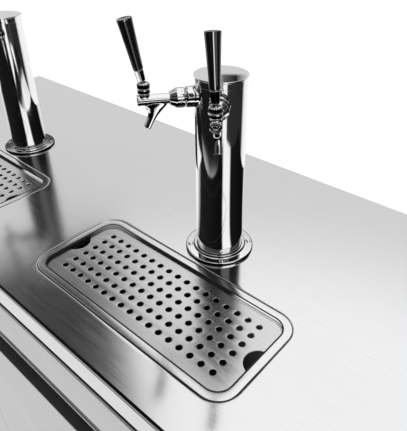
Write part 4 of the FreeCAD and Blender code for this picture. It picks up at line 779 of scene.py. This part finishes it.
def grates():
    """Punched plates: soft-edged holes on a square pitch."""
    high = GRATE_HIGH.z / MM
    low = GRATE_LOW.z / MM
    across, deep, pitch, hole_rad = 17, 6, 20, 5.0
    ring_steps = 28
    for node, centre in GRATES.items():
        work = bmesh.new()
        place = mm_point(centre)
        edge = sweep(work, grate_outline(), rounded_profile(
            [(-1.5, high), (0, high, 0.6), (0, low, 0.4), (-1.5, low)], 0.5, 4), place)
        tops = [edge[0]]
        bottoms = [edge[-1]]
        circle = []
        for step in range(ring_steps):
            angle = -2 * math.pi * step / ring_steps
            normal = Vector((math.cos(angle), math.sin(angle)))
            circle.append((hole_rad * normal, -normal))
        for column in range(across):
            for row in range(deep):
                hole = (place[0] + (column - (across - 1) / 2) * pitch,
                        place[1] + (row - (deep - 1) / 2) * pitch)
                punched = sweep(work, circle, rounded_profile(
                    [(-0.9, high), (0, high - 0.05, 0.75), (0, low), (-0.3, low)], 0.5, 4), hole)
                tops.append(punched[0])
                bottoms.append(punched[-1])
        fill(work, tops)
        fill(work, bottoms)
        to_object(f"{node}_plate", work, GRATE_STEEL, node, (node,), crease=40)


# ---------------------------------------------------------------- towers

def towers():
    """Column, cap and base flange of each tower."""
    column_rad = COLUMN_RAD / MM
    base = TOP_Z / MM
    top = CAP_HIGH.z / MM
    cap_base = CAP_LOW.z / MM
    flange_rad = FLANGE_RAD / MM
    wall, thick, steps = 1.5, 5.5, 160
    for side, x in zip(("left", "right"), TOWER_XS):
        first = side == "left"
        stand = Matrix.Translation((x, 0, 0))
        work = bmesh.new()
        lathe(work, [(column_rad - wall, base), (column_rad, base), (column_rad, top - 1.6),
                     (column_rad - wall, top - 1.6), (column_rad - wall, base)], steps, stand)
        bmesh.ops.remove_doubles(work, verts=work.verts, dist=WELD)
        to_object(f"{side}_tower_column", work, TOWER_CHROME, "cabinet",
                  ("tower_columns",) if first else ())
        work = bmesh.new()
        lathe(work, rounded_profile([
            (0, top), (column_rad - 0.5, top, 0.6), (column_rad + 1.2, top, 0.5),
            (column_rad + 1.2, top - 1.9, 0.6), (column_rad + 0.7, top - 2.5, 0.4),
            (column_rad + 0.7, cap_base, 0.4), (column_rad + 0.05, cap_base, 0.2),
            (column_rad + 0.05, top - 1.5), (0, top - 1.5),
        ], 0.4, 4), steps, stand)
        cap = to_object(f"{side}_tower_cap", work, TOWER_CHROME, "cabinet",
                        ("tower_caps",) if first else ())
        cap.data.materials.append(CAP_STEEL)
        for face in cap.data.polygons:
            if face.normal.z > 0.99 and face.center.z > CAP_HIGH.z - 0.5 * MM:
                face.material_index = 1
        work = bmesh.new()
        lathe(work, rounded_profile([
            (column_rad + 0.02, base + 0.02), (flange_rad, base + 0.02, 0.3),
            (flange_rad, base + thick, 2.6), (column_rad + 5.6, base + thick, 1.0),
            (column_rad + 5.0, base + thick + 4, 1.6), (column_rad + 0.6, base + thick + 4, 0.8),
            (column_rad + 0.02, base + thick + 3.2), (column_rad + 0.02, base + 0.02),
        ], 0.5, 6), steps, stand)
        bmesh.ops.remove_doubles(work, verts=work.verts, dist=WELD)
        to_object(f"{side}_tower_flange", work, FLANGE_CHROME, "cabinet",
                  ("tower_flanges",) if first else ())


# ---------------------------------------------------------------- taps
# Drawn in mm with the tower's axis at x = 0, the tap's own axis along +X and z = 0 on it.

def taps():
    """Four taps: fixed pieces on the tower; a lever and its grip on each lever body."""
    fixed = (("tap_body", tap_body_mesh(), "faucet_bodies"), ("tap_nose", nose_mesh(), None),
             ("tap_nut", coupling_nut_mesh(), None), ("tap_bonnet", bonnet_mesh(), None))
    ring = wall_ring_mesh()
    levers = {lean: (lever_mesh(lean), handle_mesh(lean)) for lean in (SHUT_LEAN, OPEN_LEAN)}
    for number, (matrix, level, lean) in enumerate(tap_frames(), start=1):
        first = number == 1
        for name, mesh, node in fixed:
            piece_from_mesh(f"{name}_{number}", mesh, TAP_CHROME, "cabinet",
                            (node,) if node and first else (), matrix)
        piece_from_mesh(f"tap_wall_ring_{number}", ring, TAP_CHROME, "cabinet",
                        ("faucet_collars",) if first else (), level)
        lever, handle = levers[lean]
        body = f"tap_lever_{number}"
        piece_from_mesh(f"tap_lever_arm_{number}", lever, TAP_CHROME, body,
                        (f"faucet_lever_{number}",), matrix)
        piece_from_mesh(f"tap_grip_{number}", handle, BLACK_GLOSS, body,
                        (f"tap_handle_{number}",), matrix)


def finished(work):
    bmesh.ops.remove_doubles(work, verts=work.verts, dist=WELD)
    bmesh.ops.recalc_face_normals(work, faces=work.faces)
    mesh = bpy.data.meshes.new("shared")
    work.to_mesh(mesh)
    work.free()
    return mesh


def catmull(sections, steps):
    """Smooth values between sections, each a tuple of numbers."""
    result = []
    for index in range(len(sections) - 1):
        before = sections[max(index - 1, 0)]
        first = sections[index]
        second = sections[index + 1]
        after = sections[min(index + 2, len(sections) - 1)]
        for step in range(steps):
            t = step / steps
            result.append(tuple(
                0.5 * ((2 * b) + (c - a) * t + (2 * a - 5 * b + 4 * c - d) * t * t
                       + (3 * b - a - 3 * c + d) * t ** 3)
                for a, b, c, d in zip(before, first, second, after)
            ))
    result.append(sections[-1])
    return result


SPOUT = (
    # out, up, half length, half width, lean in degrees
    (92, -3.5, 18.5, 6.5, 0), (93.7, -9.5, 15.4, 6.4, 0), (95.8, -15.5, 11, 6.1, 4),
    (98, -21.5, 7.4, 5.8, 12), (101.6, -29, 5.9, 5.6, 24), (107.5, -41, 5.6, 5.5, 27),
)


# The cast body's blending: voxel size, and passes of smoothing.
CAST_VOXEL = 0.42 * MM
CAST_SOFTENING = 6
SPOUT_STEPS = 48
# Where the handle starts, in mm above the lever's ball.
FERRULE_TOP = 26


def at_pivot(lean=0.0):
    """Along the lever's own axis, with its ball at the origin."""
    return Matrix.Translation((PIVOT_OUT, 0, PIVOT_UP)) @ Matrix.Rotation(lean, 4, "Y")


def tap_body_mesh():
    """Cast body: barrel, neck and Y-shaped spout flowing into each other, bored at the outlet."""
    work = bmesh.new()
    lathe(work, rounded_profile([
        (0, 62.1), (10.4, 62.1), (10.4, 66), (7.4, 67), (7.4, 104, 2), (7.8, 106, 2),
        (7.8, 117.4, 0.3), (0, 117.4),
    ], 0.6, 5), 72, LAY_X)
    lathe(work, rounded_profile([
        (0, -18.5), (7, -18.5, 2), (7.8, -12, 3), (7.4, -9.6, 0.5), (8.7, -8.4, 0.6),
        (8.7, -3.2, 0.6), (7.8, -2, 0.4), (0, -2),
    ], 1.0, 5), 72, at_pivot())
    rings = []
    for out, up, half_long, half_wide, lean in catmull(SPOUT, 5):
        tilt = math.radians(lean)
        ring = []
        for step in range(SPOUT_STEPS):
            angle = 2 * math.pi * step / SPOUT_STEPS
            along = half_long * math.cos(angle)
            ring.append(work.verts.new(Vector((out + along * math.cos(tilt),
                                               half_wide * math.sin(angle),
                                               up + along * math.sin(tilt))) * MM))
        rings.append(ring)
    for first, second in zip(rings, rings[1:]):
        bridge(work, first, second)
    work.faces.new(rings[0])
    work.faces.new(rings[-1])
    bmesh.ops.recalc_face_normals(work, faces=work.faces)
    cast = blended(work, CAST_VOXEL, CAST_SOFTENING)
    outlet = bmesh.new()
    lathe(outlet, [(0, -3), (3.9, -3), (3.9, 16), (0, 16)], 40,
          Matrix.Translation(Vector((108.2, 0, -42.5)) * MM)
          @ Matrix.Rotation(math.radians(-25), 4, "Y"))
    socket = bmesh.new()
    lathe(socket, rounded_profile([(0, 6), (4.7, 6), (4.7, -9), (0, -9)][::-1], 0.2, 3), 48,
          at_pivot())
    return carved(carved(cast, outlet), socket)


def nose_mesh():
    """The turned face that closes the front of the barrel: a rim, a groove and a centre boss."""
    work = bmesh.new()
    lathe(work, rounded_profile([
        (0, 116.6), (7.9, 116.6, 0.1), (7.9, 118, 0.4), (7.2, 119, 0.4), (5.1, 119, 0.25),
        (4.8, 118.2, 0.2), (2.9, 118.2, 0.2), (2.6, 118.9, 0.3), (0, 119),
    ], 0.2, 4), 96, LAY_X)
    return finished(work)


def blended(work, voxel, passes):
    """Fuse overlapping closed shells into one skin and soften where they meet."""
    mesh = bpy.data.meshes.new("blend")
    work.to_mesh(mesh)
    work.free()
    carrier = bpy.data.objects.new("blend_carrier", mesh)
    bpy.context.scene.collection.objects.link(carrier)
    remesh = carrier.modifiers.new("fuse", "REMESH")
    remesh.mode = "VOXEL"
    remesh.voxel_size = voxel
    soften = carrier.modifiers.new("soften", "SMOOTH")
    soften.iterations = passes
    soften.factor = 0.5
    return baked(carrier)


def baked(carrier):
    """The object's mesh with its modifiers applied; the object itself is removed."""
    bpy.context.view_layer.update()
    graph = bpy.context.evaluated_depsgraph_get()
    mesh = bpy.data.meshes.new_from_object(carrier.evaluated_get(graph))
    bpy.data.objects.remove(carrier)
    return mesh


def carved(mesh, tool):
    """The mesh with a closed shape cut out of it."""
    bmesh.ops.recalc_face_normals(tool, faces=tool.faces)
    tool_mesh = bpy.data.meshes.new("tool")
    tool.to_mesh(tool_mesh)
    tool.free()
    cutter = bpy.data.objects.new("cutter", tool_mesh)
    carrier = bpy.data.objects.new("carved", mesh)
    for thing in (cutter, carrier):
        bpy.context.scene.collection.objects.link(thing)
    boolean = carrier.modifiers.new("cut", "BOOLEAN")
    boolean.operation = "DIFFERENCE"
    boolean.solver = "EXACT"
    boolean.object = cutter
    result = baked(carrier)
    bpy.data.objects.remove(cutter)
    return result


def wall_ring_mesh():
    """The ring on the column wall and the round nut in front of it."""
    work = bmesh.new()
    lathe(work, rounded_profile([
        (11.1, 34), (15.6, 34, 0.2), (15.6, 39, 0.7), (14.8, 40.3, 0.3), (14.9, 41.2, 0.3),
        (14.9, 49.5, 0.9), (13.6, 51.5, 0.8), (11.1, 51.5, 0.2), (11.1, 34),
    ], 0.3, 5), 96, LAY_X)
    return finished(work)


def coupling_nut_mesh():
    """The coupling nut: barrel sides with six spanner slots, and a coned nose."""
    work = bmesh.new()
    slot_start, slot_end, slot_half, slot_floor = 56.5, 61.5, 2.0, 12.8

    def slotted(angle, radius, height):
        if radius < slot_floor or not slot_start < height < slot_end:
            return radius
        across = radius * abs(((angle * 6 / (2 * math.pi)) % 1.0 - 0.5) * 2 * math.pi / 6)
        depth = max(0.0, min(1.0, (slot_half - across) / 0.4 + 0.5))
        return radius - (radius - slot_floor) * depth

    lathe(work, rounded_profile([
        (11.1, 52.5), (12.8, 52.5, 0.4), (14.2, 53.9, 0.6), (14.2, slot_start, 0),
        (14.2, slot_start + 0.05, 0), (14.2, slot_start + 0.5, 0), (14.2, slot_end - 0.5, 0),
        (14.2, slot_end - 0.05, 0), (14.2, slot_end, 0), (14.2, 64.6, 0.6), (13, 66.3, 0.8),
        (9, 74, 0.8), (7.5, 74, 0.3), (7.5, 66.1), (11.1, 66.1), (11.1, 52.5),
    ], 0.3, 5), 288, LAY_X, slotted)
    return finished(work)


def bonnet_mesh():
    """The fluted ring that holds the lever's ball."""
    work = bmesh.new()
    flutes, smooth_rad = 18, 7.3

    def fluted(angle, radius, height):
        if radius < smooth_rad:
            return radius
        share = (0.5 + 0.5 * math.cos(angle * flutes)) ** 3
        return radius - 0.55 * share * min(1.0, (radius - smooth_rad) / 0.5)

    lathe(work, rounded_profile([
        (4.6, -1.7), (8.2, -1.7, 0.3), (8.8, -1, 0.3), (8.8, 4.8, 0.5), (7.9, 6, 0.4),
        (6.5, 6.6, 0.3), (4.3, 6.6, 0.3), (3.95, 1.6, 0.2), (4.6, 0, 0.2), (4.6, -1.7),
    ], 0.3, 4), 216, at_pivot(), fluted)
    return finished(work)


def lever_mesh(lean):
    """Tail, ball, stem and flared ferrule."""
    work = bmesh.new()
    ball_rad, ball_steps = 4.2, 12
    profile = [(0, -19.5), (1.1, -19.1), (1.5, -18), (1.5, -3.9)]
    for step in range(ball_steps + 1):
        angle = math.radians(-68 + 126 * step / ball_steps)
        profile.append((ball_rad * math.cos(angle), ball_rad * math.sin(angle)))
    profile += [tuple(point) for point in rounded_profile([
        (2.2, 3.6), (2.2, 8.4, 0.4), (5.1, 8.8, 0.4), (5.6, 9.6, 0.3), (6.3, 24.4, 0.4),
        (6.5, 24.8, 0.2), (6.5, 25.6, 0.3), (5.6, FERRULE_TOP), (0, FERRULE_TOP),
    ], 0.3, 4)]
    lathe(work, profile, 64, at_pivot(lean))
    return finished(work)


def handle_mesh(lean):
    """Tapered black grip, flared at the top, with a dished end."""
    work = bmesh.new()
    lathe(work, rounded_profile([
        (0, FERRULE_TOP), (6.6, FERRULE_TOP, 0.3), (7.1, 26.6, 0.5), (7.6, 40, 8),
        (8.6, 60, 10), (9.6, 80, 8), (10.3, 91.1, 0.9), (9.8, 92.5, 0.7), (8.6, 92.3, 0.8),
        (5.2, 91.5, 2), (0, 91.2),
    ], 0.4, 6), 96, at_pivot(lean))
    return finished(work)


# ---------------------------------------------------------------- studio

def studio():
    """Pale floor, white surroundings, and soft boxes with dark flags that metal sees."""
    mesh = bpy.data.meshes.new("floor")
    size = FLOOR_HALF
    mesh.from_pydata([(-size, -size, 0), (size, -size, 0), (size, size, 0), (-size, size, 0)],
                     [], [(0, 1, 2, 3)])
    floor = bpy.data.objects.new("floor", mesh)
    bpy.context.scene.collection.objects.link(floor)
    material, shader = new_shader("pale_floor")
    mesh.materials.append(material)
    speckle = shader.noise((30, 30, 30), 3.0, 0.6)
    matt = shader.tree.nodes.new("ShaderNodeBsdfDiffuse")
    shader.feed(matt.inputs[0], shader.tint(speckle, (0.9, 0.9, 0.9), (0.92, 0.92, 0.92)))
    # Painted reflection: in mirrored rays the floor glows with bands and a painted soft box.
    shader.in_mirrors(matt, FLOOR_BANDS, PAINTED_SOFT_BOX_BANDS)

    world = bpy.data.worlds.new("studio")
    bpy.context.scene.world = world
    sky = Shader(world)
    x, y, z = sky.split(sky.add("ShaderNodeTexCoord", out=0))
    walls = sky.compass(x, y, WALL_BANDS)
    eaves = sky.span(walls, *EAVES, 0.0, BRIGHT_WALL)
    roof = sky.span(sky.maths("SUBTRACT", z, eaves), 0.0, 1.0, 0.0, ROOF_FADE)
    around = sky.tint(roof, walls, WHITE)
    flag = sky.maths("MULTIPLY", sky.compass(x, y, FLAG_BANDS),
                     sky.span(z, 0.0, 1.0, *FLAG_RISE))
    around = sky.tint(flag, around, FLAG_TONE)
    card = sky.maths("MULTIPLY", sky.compass(x, y, CARD_BANDS), sky.maths(
        "MULTIPLY", sky.span(z, 0.0, 1.0, *CARD_FOOT), sky.span(z, 1.0, 0.0, *CARD_TOP)))
    around = sky.tint(card, around, CARD_TONE)
    white = sky.add("ShaderNodeBackground", grey(1.0), DIFFUSE_LIGHT)
    seen = sky.add("ShaderNodeBackground", around, 1.0)
    rays = sky.tree.nodes.new("ShaderNodeLightPath")
    mixed = sky.add("ShaderNodeMixShader", rays.outputs["Is Glossy Ray"], white, seen)
    sky.tree.links.new(mixed, sky.output.inputs[0])


EYE_FROM_GRATE = Vector((0.4175, -0.3494, 0.5124))
EYE_AZIMUTH = math.radians(41.10)
EYE_DOWN = math.radians(32.12)
LENS_MM, SENSOR_MM = 39.82, 36
LENS_SHIFT = -0.0164, -0.0445


def camera():
    """The view the object was pictured from: front right, looking down on the right-hand tray."""
    grate = GRATES["right_grate"]
    eye = Vector((grate.x, grate.y, GRATE_HIGH.z)) + EYE_FROM_GRATE
    forward = Vector((-math.sin(EYE_AZIMUTH) * math.cos(EYE_DOWN),
                      math.cos(EYE_AZIMUTH) * math.cos(EYE_DOWN), -math.sin(EYE_DOWN)))
    data = bpy.data.cameras.new("camera")
    data.sensor_width = SENSOR_MM
    data.lens = LENS_MM
    data.shift_x, data.shift_y = LENS_SHIFT
    data.clip_start = 0.01
    view = bpy.data.objects.new("camera", data)
    view.matrix_world = Matrix.Translation(eye) @ forward.to_track_quat("-Z", "Y").to_matrix(
    ).to_4x4()
    bpy.context.scene.collection.objects.link(view)
    bpy.context.scene.camera = view


finish_cad_nodes()
worktop()
trays()
shade_strips()
grates()
towers()
taps()
studio()
camera()
bpy.context.scene.view_settings.view_transform = "Standard"
